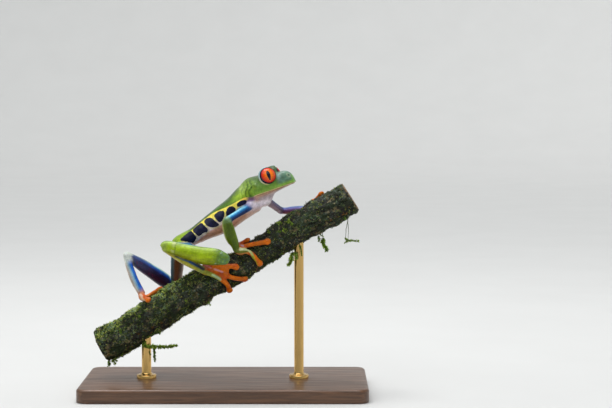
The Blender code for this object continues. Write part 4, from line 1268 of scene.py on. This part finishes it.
# Depth of the sawn ends, and how far the bark rises or sinks from the solid
CUT_DEPTH = 1.5
BARK_RISE = 0.8
BARK_DENT = 0.9
# Room that bark and moss leave for hands and feet, and moss for the sawn ends
BARK_FROM_FEET = 0.25
MOSS_FROM_FEET = 0.6
MOSS_FROM_ENDS = 0.8
LEAVES_PER_TUFT = 6
MOSS_PIECES = 4
# Side of the patch of the bake map that a leaf takes
BAKE_PATCH = 0.003
# How deep a shoot starts in the bark, the length of its steps and its stem's radius
SHOOT_DEPTH = 0.4
SHOOT_STEP = 0.3
STEM_RADIUS = 0.13
RANDOM_START = {"moss": 11, "shoots": 5}


def bark_material(look):
    material, tree, shader = new_material("bark", Specular_IOR_Level=0.3)
    fibres = place_mm(tree, (0, GRAIN_SLOPE, 0), (0.28, 1.0, 1.0))
    here = place_mm(tree)
    far, cut, low = parts_of(tree, "grain")
    long_noise = add_noise(tree, fibres, 0.9, 5.0, 0.65)
    fine = add_noise(tree, here, 2.4, 4.0, 0.6)
    broad = add_noise(tree, here, 0.22, 3.0, 0.5)
    cracks = add(tree, "TexVoronoi", {"Vector": fibres, "Scale": 0.8}, feature="DISTANCE_TO_EDGE")
    colour = blend_colours(tree, fade(tree, long_noise, 0.35, 0.7), look.bark_brown[:],
                           (0.024, 0.020, 0.013))
    colour = blend_colours(tree, fade(tree, cracks.outputs["Distance"], 0.10, 0.0), colour,
                           (0.003, 0.003, 0.002))
    # Algae, grey-green crusts, tan scales and rusty spots
    algae = fade(tree, maths(tree, "MULTIPLY_ADD", fine, 0.5, broad), 0.70, 0.84)
    colour = blend_colours(tree, maths(tree, "MULTIPLY", algae, 0.8), colour, (0.018, 0.034, 0.008))
    crust = fade(tree, add_noise(tree, here, 1.9, 4.0, 0.7), 0.50, 0.58)
    upper = maths(tree, "SUBTRACT", 1.0, low)
    teal = fade(tree, add_noise(tree, here, 0.55, 3.0, 0.5), 0.44, 0.58)
    teal = maths(tree, "MULTIPLY", maths(tree, "MULTIPLY", teal, crust), upper)
    colour = blend_colours(tree, maths(tree, "MULTIPLY", teal, 0.85), colour, (0.085, 0.115, 0.088))
    tan = fade(tree, add_noise(tree, here, 0.34, 3.0, 0.5), 0.56, 0.64)
    tan = maths(tree, "MULTIPLY", tan, fade(tree, add_noise(tree, here, 1.4, 4.0, 0.6), 0.42, 0.56))
    colour = blend_colours(tree, maths(tree, "MULTIPLY", tan, 0.85), colour, (0.21, 0.165, 0.08))
    rust = fade(tree, add_noise(tree, here, 0.62, 4.0, 0.62), 0.60, 0.68)
    rust = maths(tree, "MULTIPLY", rust, low)
    colour = blend_colours(tree, maths(tree, "MULTIPLY", rust, 0.85), colour, (0.24, 0.105, 0.012))
    # Small crusty flecks of many colours
    cells = add(tree, "TexVoronoi", {"Vector": here, "Scale": 0.95, "Randomness": 1.0})
    pick = add(tree, "SeparateColor", {0: cells.outputs["Color"]}).outputs
    size = maths(tree, "MULTIPLY_ADD", add_noise(tree, here, 2.2, 4.0, 0.75), 1.6,
                 maths(tree, "MULTIPLY", cells.outputs["Distance"], 0.6))
    fleck = maths(tree, "MULTIPLY", fade(tree, size, 0.97, 0.88), fade(tree, pick[0], 0.52, 0.66))
    tint = blend_colours(tree, fade(tree, pick[1], 0.35, 0.55), (0.13, 0.19, 0.02), (0.30, 0.26, 0.13))
    tint = blend_colours(tree, fade(tree, pick[2], 0.62, 0.72), tint, (0.15, 0.21, 0.16))
    colour = blend_colours(tree, maths(tree, "MULTIPLY", fleck, 0.85), colour, tint)
    # Year rings and cracks of the sawn ends
    wobble = maths(tree, "MULTIPLY_ADD", broad, 1.2, far)
    rings = add(tree, "Math", {0: maths(tree, "MULTIPLY", wobble, 10.5)}, operation="SINE").outputs[0]
    wood = blend_colours(tree, fade(tree, rings, -0.6, 0.9), (0.27, 0.175, 0.09), (0.36, 0.255, 0.145))
    wood = blend_colours(tree, fade(tree, wobble, 2.2, 1.0, 0.0, 0.6), wood, (0.13, 0.07, 0.03))
    wood = blend_colours(tree, fade(tree, fine, 0.35, 0.75, 0.0, 0.5), wood, (0.12, 0.07, 0.035))
    wood = blend_colours(tree, fade(tree, far, 5.5, 5.9), wood, (0.035, 0.024, 0.014))
    colour = blend_colours(tree, cut, colour, wood)
    tree.links.new(colour, shader.inputs["Base Color"])
    tree.links.new(fade(tree, fine, 0.3, 0.7, 0.42, 0.85), shader.inputs["Roughness"])
    rough = maths(tree, "MULTIPLY_ADD", cut, -0.85, 1.0)
    normal = bump(tree, long_noise, maths(tree, "MULTIPLY", rough, 0.7), 0.6)
    normal = bump(tree, cracks.outputs["Distance"], maths(tree, "MULTIPLY", rough, 0.4), 0.5, normal)
    normal = bump(tree, fine, maths(tree, "MULTIPLY", rough, 0.7), 0.35, normal)
    tree.links.new(normal, shader.inputs["Normal"])
    return material


class FROG_OT_bark(bpy.types.Operator):
    """The cut length of branch, with furrowed bark and sawn ends"""

    bl_idname = "tree_frog.bark"
    bl_label = "Bark"

    def execute(self, context):
        look = context.scene.perch_look
        obj = voxel_object("perch_bark", node_copy("perch_branch"), look.bark_voxel)
        mesh = obj.data
        edges = get_edges(mesh)
        co = relaxed(get_points(mesh), edges, 10)
        set_points(mesh, co)
        normals = get_normals(mesh)
        along, _, turn = round_branch(co)
        length = along.max()
        from_end = np.minimum(along, length - along)
        ends = smooth_step(from_end, 0.35, 0.12)
        facing = np.abs(normals @ np.array((0.87, 0, 0.5)))
        cut = np.maximum(ends * smooth_step(facing, 0.35, 0.7),
                         smooth_step(facing, 0.8, 0.95) * (from_end < CUT_DEPTH))
        stretched = np.stack([along * 0.22, 6 * np.cos(turn), 6 * np.sin(turn)], 1)
        ridges = np.abs(noise_at(stretched, 0.55, 3)) * 2
        push = 0.20 - 0.7 * ridges + 0.75 * noise_at(co, 0.17, 2, 5.0) + 0.40 * noise_at(co, 0.55, 3, 3.0)
        push += 0.22 * noise_at(co, 1.3, 3, 9.0)
        most = np.clip(feet_clearance(co) - BARK_FROM_FEET, 0.0, BARK_RISE)
        co = co + normals * (np.clip(push, -BARK_DENT, most) * (1 - np.maximum(cut, ends)))[:, None]
        set_points(mesh, co)
        _, height, _ = round_branch(co)
        low = smooth_step(np.degrees(np.abs(turn)), 95, 135)
        set_vector(mesh, "grain", np.stack([height + MEAN_RADIUS, cut, low], 1))
        finish_piece(obj, bark_material(look), "bark", "perch_branch")
        return {"FINISHED"}


def leaf_template(long, wide, thick, bend):
    """Points and faces of one small pointed leaf that grows along +Z."""
    bm = bmesh.new()
    bmesh.ops.create_cone(bm, cap_ends=True, segments=3, radius1=wide * 0.35, radius2=wide * 0.5,
                          depth=long * 0.45)
    bmesh.ops.translate(bm, verts=bm.verts, vec=(0, 0, long * 0.225))
    top = max(bm.faces, key=lambda face: face.calc_center_median().z)
    bmesh.ops.poke(bm, faces=[top])
    tip = max(bm.verts, key=lambda vert: (vert.co.z, -abs(vert.co.x) - abs(vert.co.y)))
    tip.co.z = long
    for vert in bm.verts:
        vert.co.y = vert.co.y * thick / wide + bend * (vert.co.z / long) ** 2
    bmesh.ops.triangulate(bm, faces=bm.faces)
    bmesh.ops.recalc_face_normals(bm, faces=bm.faces)
    points = np.array([v.co for v in bm.verts])
    faces = np.array([[v.index for v in face.verts] for face in bm.faces])
    bm.free()
    return points, faces


def scattered(name, template, places, uvs, tints):
    """One joined mesh of many copies of a template, each with its own patch of the bake map."""
    points, faces = template
    many = len(places)
    count = len(points)
    co = np.einsum("nij,kj->nki", places[:, :3, :3], points) + places[:, None, :3, 3]
    index = (faces[None] + count * np.arange(many)[:, None, None]).reshape(-1, 3)
    mesh = bpy.data.meshes.new(name)
    mesh.vertices.add(many * count)
    mesh.vertices.foreach_set("co", co.astype(np.float32).ravel())
    mesh.loops.add(index.size)
    mesh.loops.foreach_set("vertex_index", index.astype(np.int32).ravel())
    mesh.polygons.add(len(index))
    mesh.polygons.foreach_set("loop_start", np.arange(0, index.size, 3, dtype=np.int32))
    mesh.update(calc_edges=True)
    span = np.ptp(points[:, [0, 2]], axis=0)
    patch = (points[:, [0, 2]] - points[:, [0, 2]].min(axis=0)) / span * BAKE_PATCH
    layer = mesh.uv_layers.new(name="OFBake")
    per_point = (uvs[:, None] + patch[None]).reshape(-1, 2)
    layer.data.foreach_set("uv", per_point[index.ravel()].astype(np.float32).ravel())
    set_colour(mesh, "paint", np.repeat(tints, count, axis=0))
    reach = np.tile(points[:, 2] / points[:, 2].max(), many)
    set_vector(mesh, "reach", np.stack([reach, reach * 0, reach * 0], 1))
    mesh.validate()
    obj = bpy.data.objects.new(name, mesh)
    bpy.context.scene.collection.objects.link(obj)
    return obj


def moss_material(name):
    material, tree, shader = new_material(
        name, Roughness=0.6, Specular_IOR_Level=0.35, Subsurface_Weight=0.12,
        Subsurface_Radius=(0.3, 0.5, 0.1), Subsurface_Scale=0.0006)
    here = place_mm(tree)
    paint = add(tree, "Attribute", attribute_name="paint").outputs["Color"]
    reach = parts_of(tree, "reach")[0]
    fine = add_noise(tree, here, 2.0, 3.0, 0.6)
    depth = fade(tree, reach, 0.0, 0.9, 0.25, 1.35)
    depth = maths(tree, "MULTIPLY", depth, fade(tree, fine, 0.3, 0.7, 0.75, 1.25))
    tree.links.new(darkened(tree, paint, depth), shader.inputs["Base Color"])
    tree.links.new(bump(tree, fine, 0.3, 0.1), shader.inputs["Normal"])
    return material


def leaf_places(rng, roots, outs, size, lean, spread):
    """A matrix for each leaf, at its root, leaning from straight out."""
    many = len(roots)
    tilt = outs + rng.normal(0, lean, (many, 3)) + np.array((0.0, 0.0, spread))
    tilt /= np.linalg.norm(tilt, axis=1)[:, None]
    other = rng.normal(0, 1, (many, 3))
    across = np.cross(tilt, other)
    across /= np.linalg.norm(across, axis=1)[:, None]
    third = np.cross(tilt, across)
    places = np.zeros((many, 4, 4))
    places[:, :3, 0] = across * size[:, None]
    places[:, :3, 1] = third * size[:, None]
    places[:, :3, 2] = tilt * size[:, None]
    places[:, :3, 3] = roots
    return places


def feet_clearance(roots):
    """Distance from each root to the frog's hands and feet."""
    best = np.full(len(roots), 1e9)
    for side in JOINTS:
        for kind in ("hand", "foot"):
            tree = bvhtree.BVHTree.FromBMesh(node_copy(side + "_" + kind))
            best = np.minimum(best, [tree.find_nearest(p)[3] for p in roots])
    return best


def bark_spots(rng, count):
    """Random spots on the bark: point, outward direction, distance along, turn."""
    mesh = bpy.data.objects["perch_bark"].data
    area = np.empty(len(mesh.polygons))
    mesh.polygons.foreach_get("area", area)
    centre = np.empty(len(area) * 3)
    mesh.polygons.foreach_get("center", centre)
    normal = np.empty(len(area) * 3)
    mesh.polygons.foreach_get("normal", normal)
    chosen = rng.choice(len(area), size=count, p=area / area.sum())
    points = centre.reshape(-1, 3)[chosen] / MM
    points += rng.uniform(-0.2, 0.2, points.shape)
    out = normal.reshape(-1, 3)[chosen]
    along, _, turn = round_branch(points)
    return points - out * 0.12, out, along, turn


class FROG_OT_moss(bpy.types.Operator):
    """Cushions of fine moss on the bark"""

    bl_idname = "tree_frog.moss"
    bl_label = "Moss"

    def execute(self, context):
        look = context.scene.perch_look
        rng = np.random.default_rng(RANDOM_START["moss"])
        roots, out, along, turn = bark_spots(rng, look.moss_tufts * 4)
        length = along.max()
        share = along / length
        top = np.cos(turn)
        patch = noise_at(roots, 0.2, 3, 2.0) + 0.6 * noise_at(roots, 0.6, 2, 4.0)
        patch += 0.35 * smooth_step(share, 0.62, 0.30) * smooth_step(top, -0.3, 0.7)
        patch -= 0.14 * smooth_step(share, 0.62, 0.78) + 0.16 * smooth_step(top, 0.0, -0.8)
        clear = feet_clearance(roots)
        keep = (patch > rng.normal(-0.08, 0.26, len(roots))) & (clear > MOSS_FROM_FEET)
        keep &= (along > MOSS_FROM_ENDS) & (along < length - MOSS_FROM_ENDS)
        chosen = np.nonzero(keep)[0][: look.moss_tufts]
        picked = np.repeat(chosen, LEAVES_PER_TUFT)
        base = roots[picked] + rng.normal(0, 0.15, (len(picked), 3))
        size = rng.uniform(0.22, 0.58, len(picked)) * np.clip(clear[picked] / 1.6, 0.5, 1.0)
        size *= 1 + 0.55 * (smooth_step(share, 0.62, 0.30) * smooth_step(top, 0.2, 0.8))[picked]
        tone = rng.uniform(0, 1, len(chosen)) + 0.9 * noise_at(roots[chosen], 0.35, 2, 8.0)
        tone += 0.12 * top[chosen]
        colours = shade(tone, ((-0.1, (0.010, 0.015, 0.006)), (0.3, (0.024, 0.040, 0.008)),
                               (0.5, look.moss_green[:]), (0.72, (0.20, 0.28, 0.025)),
                               (0.9, (0.55, 0.58, 0.13)), (1.2, (0.20, 0.32, 0.20))))
        teal = smooth_step(share, 0.66, 0.85)[chosen] * (rng.uniform(0, 1, len(chosen)) < 0.6)
        colours = mixed(colours, (0.075, 0.115, 0.075), 0.8 * teal)
        colours = np.repeat(colours, LEAVES_PER_TUFT, axis=0) * rng.uniform(0.65, 1.35, (len(picked), 1))
        places = leaf_places(rng, base, out[picked], size, 0.55, 0.1)
        uvs = np.stack([along[picked] / length, turn[picked] / (2 * math.pi) + 0.5], 1) * 0.99
        template = leaf_template(1.0, 0.40, 0.16, 0.22)
        for k, part in enumerate(np.array_split(np.arange(len(picked)), MOSS_PIECES)):
            obj = scattered(f"perch_moss_{k + 1}", template, places[part], uvs[part], colours[part])
            finish_piece(obj, moss_material(obj.name), "bark")
        return {"FINISHED"}


# Leafy shoots that hang from the branch: where each starts (x, degrees round it), the size of
# its leaves, the bare length at its root and the turns that it takes (towards x, towards z, length)
SHOOTS = (
    (-32.8, 160, 1.00, 0.0, ((0.3, -1.0, 1.8), (1.0, 0.0, 11.6))),
    (-32.6, 164, 0.75, 3.5, ((0.3, -1.0, 1.8), (1.0, -0.1, 2.6), (0.05, -1.0, 6.0))),
    (-32.9, 168, 0.45, 1.0, ((0.3, -1.0, 1.8), (0.6, -1.0, 4.0))),
    (-31.6, 140, 0.35, 0.6, ((1.0, 0.55, 5.4),)),
    (-45.0, 160, 0.95, 0.0, ((-0.3, -1.0, 2.2),)),
    (-43.8, 168, 0.90, 0.0, ((0.3, -1.0, 2.0),)),
    (-42.9, 158, 0.70, 0.0, ((0.6, -1.0, 1.6),)),
    (-27.0, 150, 0.60, 0.0, ((0.2, -1.0, 1.5),)),
    (-9.0, 158, 0.60, 0.0, ((0.6, -0.8, 1.9),)),
    (21.6, 160, 1.15, 1.5, ((-0.1, -1.0, 5.4), (-1.0, -0.4, 1.2))),
    (22.2, 150, 0.90, 2.0, ((0.3, -1.0, 4.6),)),
    (24.4, 150, 0.50, 0.5, ((0.3, -1.0, 4.8),)),
    (33.2, 150, 1.20, 2.2, ((-0.1, -1.0, 4.4), (0.6, -1.0, 3.4))),
    (31.4, 160, 0.70, 0.5, ((0.1, -1.0, 2.6),)),
    (41.9, 150, 0.75, 8.0, ((-0.05, -1.0, 8.4), (1.0, -0.1, 5.2))),
    (41.7, 158, 0.65, 8.6, ((-0.1, -1.0, 8.6), (-1.0, -0.1, 1.6))),
    (23.0, 42, 0.85, 0.0, ((-0.8, 0.3, 1.5),)),
    (24.4, 50, 0.95, 0.0, ((0.5, 0.2, 1.5),)),
    (23.6, 62, 0.85, 0.0, ((-0.3, -0.6, 1.5),)),
    (25.6, 58, 0.70, 0.0, ((0.6, -0.6, 1.2),)),
)


class FROG_OT_shoots(bpy.types.Operator):
    """Leafy shoots that hang from the branch"""

    bl_idname = "tree_frog.shoots"
    bl_label = "Leafy shoots"

    def execute(self, context):
        look = context.scene.perch_look
        rng = np.random.default_rng(RANDOM_START["shoots"])
        shoots = list(SHOOTS)
        while len(shoots) < look.sprigs:
            turns = ((rng.uniform(-0.6, 0.6), rng.uniform(-0.6, 0.6), rng.uniform(0.8, 1.8)),)
            shoots.append((rng.uniform(-42, 43), rng.uniform(-175, 175), 0.5, 0.0, turns))
        stems = bmesh.new()
        leaves = []
        for shoot in shoots:
            path = self.grow(rng, leaves, *shoot)
            self.stem(stems, path)
        roots, outs, sizes, tints, uvs = (np.array(column) for column in zip(*leaves))
        places = leaf_places(rng, roots, outs, sizes, 0.2, 0.0)
        obj = scattered("perch_shoots", leaf_template(1.0, 0.75, 0.14, 0.16), places, uvs, tints)
        finish_piece(obj, moss_material("shoot_leaves"), "bark")
        stem = new_object("perch_stems", stems)
        set_colour(stem.data, "paint", np.tile((0.05, 0.07, 0.015), (len(stem.data.vertices), 1)))
        set_vector(stem.data, "reach", np.full((len(stem.data.vertices), 3), 0.6))
        finish_piece(stem, moss_material("shoot_stems"), "bark")
        return {"FINISHED"}

    def grow(self, rng, leaves, x, degrees, leaf, bare, turns):
        """The points of one shoot; its leaves are added to the list of all leaves."""
        point, out = grip(x, degrees, -SHOOT_DEPTH)
        heading = out.normalized()
        green = shade(rng.uniform(0, 1, 1), ((0, (0.13, 0.26, 0.012)), (1, (0.30, 0.44, 0.04))))[0]
        path = [point.copy()]
        steps = [Vector((dx, 0, dz)).normalized() for dx, dz, far in turns
                 for _ in range(round(far / SHOOT_STEP))]
        for k, pull in enumerate(steps):
            bend = Vector(rng.normal(0, 0.10, 3))
            heading = (heading * 0.62 + pull * 0.38 + bend).normalized()
            point = point + heading * SHOOT_STEP
            path.append(point.copy())
            if k * SHOOT_STEP < bare:
                continue
            for hand in (1, -1, 1, -1):
                root = point + Vector(rng.normal(0, 0.05, 3))
                side = heading.cross(Vector((0.3, 1, 0.2))).normalized() * hand
                away = (side + heading * 0.8 + Vector(rng.normal(0, 0.35, 3))).normalized()
                size = leaf * rng.uniform(0.8, 1.35) * (1.1 - 0.35 * k / len(steps))
                tint = green * rng.uniform(0.7, 1.35)
                leaves.append((root, away, size, tint, ((x + 46) / 93, degrees / 360 % 1.0 * 0.99)))
        return path

    def stem(self, bm, path):
        """A thin tapering tube through the points."""
        rings = []
        for k, point in enumerate(path):
            ahead = path[min(k + 1, len(path) - 1)] - path[max(k - 1, 0)]
            turn = ahead.to_track_quat("Z", "Y").to_matrix().to_4x4()
            size = STEM_RADIUS * (1.1 - 0.7 * k / len(path))
            made = bmesh.ops.create_circle(bm, segments=6, radius=size,
                                           matrix=Matrix.Translation(point) @ turn)
            rings.append(made["verts"])
        for a, b in zip(rings, rings[1:]):
            edges = {e for v in a + b for e in v.link_edges if e.is_wire or len(e.link_faces) < 2}
            loops = [e for e in edges if all(v in a for v in e.verts) or all(v in b for v in e.verts)]
            bmesh.ops.bridge_loops(bm, edges=loops)
        for ring in (rings[0], rings[-1]):
            bmesh.ops.contextual_create(bm, geom=ring)
        faces = list({f for ring in rings for v in ring for f in v.link_faces})
        bmesh.ops.recalc_face_normals(bm, faces=faces)


# The stand

BASE_SIZE = (104.0, 50.0, 5.0)
RODS = {"low": -29.0, "high": 27.0}
ROD_RADIUS = 1.75
COLLAR_RADIUS = 3.6
COLLAR_HEIGHT = 1.4
# How deep a rod goes into the branch, as a share of the branch's radius
ROD_SINK = 0.55
# Rounding of the base: its upright corners, its upper rim and its foot, with the steps of each
CORNER_ROUND = (4.0, 12)
RIM_ROUND = (1.0, 6)
FOOT_ROUND = (0.3, 2)


def wood_material(look):
    material, tree, shader = new_material("stand_wood", Coat_Weight=0.25, Coat_Roughness=0.2)
    fibres = place_mm(tree, (0, 0, math.radians(1.5)), (0.05, 1.0, 1.0))
    here = place_mm(tree)
    grain = add_noise(tree, fibres, 1.1, 6.0, 0.6)
    bands = add_noise(tree, fibres, 0.28, 3.0, 0.5)
    waves = add(tree, "Math", {0: maths(tree, "MULTIPLY", bands, 46.0)}, operation="SINE").outputs[0]
    pores = add_noise(tree, place_mm(tree, (0, 0, 0), (0.12, 3.0, 3.0)), 1.6, 3.0, 0.6)
    brown = look.wood_brown[:]
    light = tuple(c * 1.9 for c in brown)
    colour = blend_colours(tree, fade(tree, waves, -0.8, 0.9, 0.0, 0.55), brown, light)
    colour = blend_colours(tree, fade(tree, grain, 0.35, 0.75, 0.0, 0.6), colour,
                           tuple(c * 0.45 for c in brown))
    colour = blend_colours(tree, fade(tree, pores, 0.62, 0.72, 0.0, 0.7), colour, (0.02, 0.01, 0.005))
    tree.links.new(colour, shader.inputs["Base Color"])
    tree.links.new(fade(tree, grain, 0.3, 0.7, 0.34, 0.48), shader.inputs["Roughness"])
    normal = bump(tree, pores, 0.15, 0.1)
    normal = bump(tree, add_noise(tree, here, 0.6, 3.0), 0.03, 0.2, normal)
    tree.links.new(normal, shader.inputs["Normal"])
    return material


def brass_material(look):
    material, tree, shader = new_material("stand_brass", Metallic=1.0)
    here = place_mm(tree)
    rings = add_noise(tree, place_mm(tree, (0, 0, 0), (0.05, 0.05, 2.0)), 1.5, 2.0, 0.5)
    tarnish = add_noise(tree, here, 0.12, 2.0, 0.5)
    colour = blend_colours(tree, fade(tree, tarnish, 0.45, 0.75, 0.0, 0.30), look.brass[:],
                           (0.50, 0.32, 0.12))
    tree.links.new(colour, shader.inputs["Base Color"])
    tree.links.new(fade(tree, tarnish, 0.35, 0.7, 0.16, 0.26), shader.inputs["Roughness"])
    tree.links.new(bump(tree, rings, 0.03, 0.02), shader.inputs["Normal"])
    return material


class FROG_OT_stand(bpy.types.Operator):
    """The wooden base and the brass rods under the branch"""

    bl_idname = "tree_frog.stand"
    bl_label = "Stand"

    def execute(self, context):
        look = context.scene.stand_look
        wide, deep, high = BASE_SIZE
        bm = bmesh.new()
        bmesh.ops.create_cube(bm, size=1.0)
        bmesh.ops.transform(bm, matrix=Matrix.Translation((0, 0, high / 2))
                            @ Matrix.Diagonal((wide, deep, high, 1)), verts=bm.verts)
        for (round_off, steps), wanted in (
            (CORNER_ROUND, lambda a, b: abs(a - b) > high / 2),
            (RIM_ROUND, lambda a, b: min(a, b) > high * 0.9),
            (FOOT_ROUND, lambda a, b: max(a, b) < high * 0.1),
        ):
            edges = [e for e in bm.edges if wanted(*(v.co.z for v in e.verts))]
            bmesh.ops.bevel(bm, geom=edges, offset=round_off, offset_type="OFFSET", affect="EDGES",
                            segments=steps, profile=0.5, material=-1)
        base = new_object("stand_plinth", bm)
        finish_piece(base, wood_material(look), "stand_wood", "stand_base")
        base.data.set_sharp_from_angle(angle=math.radians(50))
        material = brass_material(look)
        for which, x in RODS.items():
            self.rod(which, x, high, material)
        return {"FINISHED"}

    def rod(self, which, x, floor, material):
        """One turned rod with a stepped collar."""
        rows = branch_curve()
        middle, radius = (float(np.interp(x, rows[:, 0], rows[:, k])) for k in (1, 2))
        top = middle - radius * ROD_SINK
        collar = floor + COLLAR_HEIGHT
        profile = (
            (0.0, floor), (COLLAR_RADIUS, floor), (COLLAR_RADIUS, collar - 0.35),
            (COLLAR_RADIUS - 0.12, collar - 0.12), (COLLAR_RADIUS - 0.35, collar),
            (ROD_RADIUS + 0.7, collar), (ROD_RADIUS + 0.35, collar + 0.18),
            (ROD_RADIUS + 0.1, collar + 0.5), (ROD_RADIUS, collar + 0.9),
            (ROD_RADIUS, top), (0.0, top),
        )
        bm = turned(profile, 64, 1e-4)
        bmesh.ops.translate(bm, verts=bm.verts, vec=(x, 0, 0))
        obj = new_object("stand_rod_brass_" + which, bm)
        finish_piece(obj, material, "stand_brass", "stand_rod_" + which)
        obj.data.set_sharp_from_angle(angle=math.radians(35))


# The stage

CAMERA_AIM = Vector((0.0296, 0.0, 0.06907))
CAMERA_DISTANCE = 0.6
CAMERA_RISE = math.radians(4)
FRAME_WIDTH = 0.2234
SENSOR_WIDTH = 36.0
FLOOR_RADIUS = 1.4
FLOOR_BEND = 0.8
FLOOR_STEPS = 16
WALL_HEIGHT = 1.5
LIGHT_AIM = Vector((0.0, 0.0, 0.06))
# Name, kind, place, size (degrees for a sun, metres for an area) and power
LIGHTS = (
    ("key", "SUN", (-0.30, -0.42, 0.80), 85, 2.1),
    ("top", "AREA", (-0.05, 0.10, 0.55), 0.34, 1.6),
)


def floor_material():
    material, tree, shader = new_material("floor", Roughness=0.85)
    shade_noise = add_noise(tree, place_mm(tree), 0.02, 2.0)
    colour = blend_colours(tree, shade_noise, (0.62, 0.62, 0.61), (0.66, 0.66, 0.65))
    tree.links.new(colour, shader.inputs["Base Color"])
    return material


class FROG_OT_stage(bpy.types.Operator):
    """Pale floor, soft studio lights and the camera"""

    bl_idname = "tree_frog.stage"
    bl_label = "Stage"

    def execute(self, context):
        self.floor()
        self.lights(context.scene)
        self.camera(context.scene)
        context.scene.view_settings.view_transform = "Standard"
        return {"FINISHED"}

    def floor(self):
        """A round floor that rises softly at its far edge."""
        profile = [(0.0, 0.0), (FLOOR_RADIUS, 0.0)]
        for k in range(1, FLOOR_STEPS + 1):
            turn = math.pi / 2 * k / FLOOR_STEPS
            profile.append((FLOOR_RADIUS + FLOOR_BEND * math.sin(turn),
                            FLOOR_BEND * (1 - math.cos(turn))))
        profile.append((FLOOR_RADIUS + FLOOR_BEND, WALL_HEIGHT))
        floor = new_object("floor", turned(profile, 96, 1e-5))
        floor.data.shade_smooth()
        floor.data.materials.append(floor_material())

    def lights(self, scene):
        """Even light from all round, a wide soft sun and a lamp over the model."""
        world = bpy.data.worlds.new("studio")
        scene.world = world
        world.use_nodes = True
        sky = world.node_tree.nodes["Background"]
        sky.inputs["Color"].default_value = (0.93, 0.97, 1.0, 1)
        sky.inputs["Strength"].default_value = 0.50
        for name, kind, place, size, power in LIGHTS:
            light = bpy.data.lights.new(name, kind)
            light.energy = power
            if kind == "SUN":
                light.angle = math.radians(size)
            else:
                light.shape = "RECTANGLE"
                light.size, light.size_y = size, size * 0.5
            lamp = bpy.data.objects.new(name, light)
            lamp.location = place
            aim = LIGHT_AIM - Vector(place)
            lamp.rotation_euler = aim.to_track_quat("-Z", "Y").to_euler()
            scene.collection.objects.link(lamp)

    def camera(self, scene):
        """The photo's view."""
        camera = bpy.data.cameras.new("camera")
        camera.sensor_width = SENSOR_WIDTH
        camera.lens = SENSOR_WIDTH * CAMERA_DISTANCE / FRAME_WIDTH
        camera.clip_start = 0.01
        camera.clip_end = 20.0
        eye = bpy.data.objects.new("camera", camera)
        toward = Vector((0, math.cos(CAMERA_RISE), -math.sin(CAMERA_RISE)))
        eye.location = CAMERA_AIM - toward * CAMERA_DISTANCE
        eye.rotation_euler = toward.to_track_quat("-Z", "Y").to_euler()
        scene.collection.objects.link(eye)
        scene.camera = eye


class FROG_PT_panel(bpy.types.Panel):
    bl_idname = "FROG_PT_panel"
    bl_label = "Tree frog"
    bl_space_type = "VIEW_3D"
    bl_region_type = "UI"
    bl_category = "Tree frog"

    def draw(self, context):
        for group in (context.scene.frog_look, context.scene.perch_look, context.scene.stand_look):
            box = self.layout.box()
            for name in group.__annotations__:
                box.prop(group, name)
        for operator in OPERATORS:
            self.layout.operator(operator.bl_idname)


OPERATORS = (FROG_OT_skin, FROG_OT_eyes, FROG_OT_bark, FROG_OT_moss, FROG_OT_shoots,
             FROG_OT_stand, FROG_OT_stage)
GROUPS = {"frog_look": FrogLook, "perch_look": PerchLook, "stand_look": StandLook}


def register():
    for item in (*GROUPS.values(), *OPERATORS, FROG_PT_panel):
        bpy.utils.register_class(item)
    for name, group in GROUPS.items():
        setattr(bpy.types.Scene, name, PointerProperty(type=group))


def unregister():
    for name in GROUPS:
        delattr(bpy.types.Scene, name)
    for item in reversed((*GROUPS.values(), *OPERATORS, FROG_PT_panel)):
        bpy.utils.unregister_class(item)


def main():
    register()
    bpy.ops.tree_frog.skin()
    bpy.ops.tree_frog.eyes()
    bpy.ops.tree_frog.bark()
    bpy.ops.tree_frog.moss()
    bpy.ops.tree_frog.shoots()
    bpy.ops.tree_frog.stand()
    bpy.ops.tree_frog.stage()


if __name__ == "__main__":
    main()
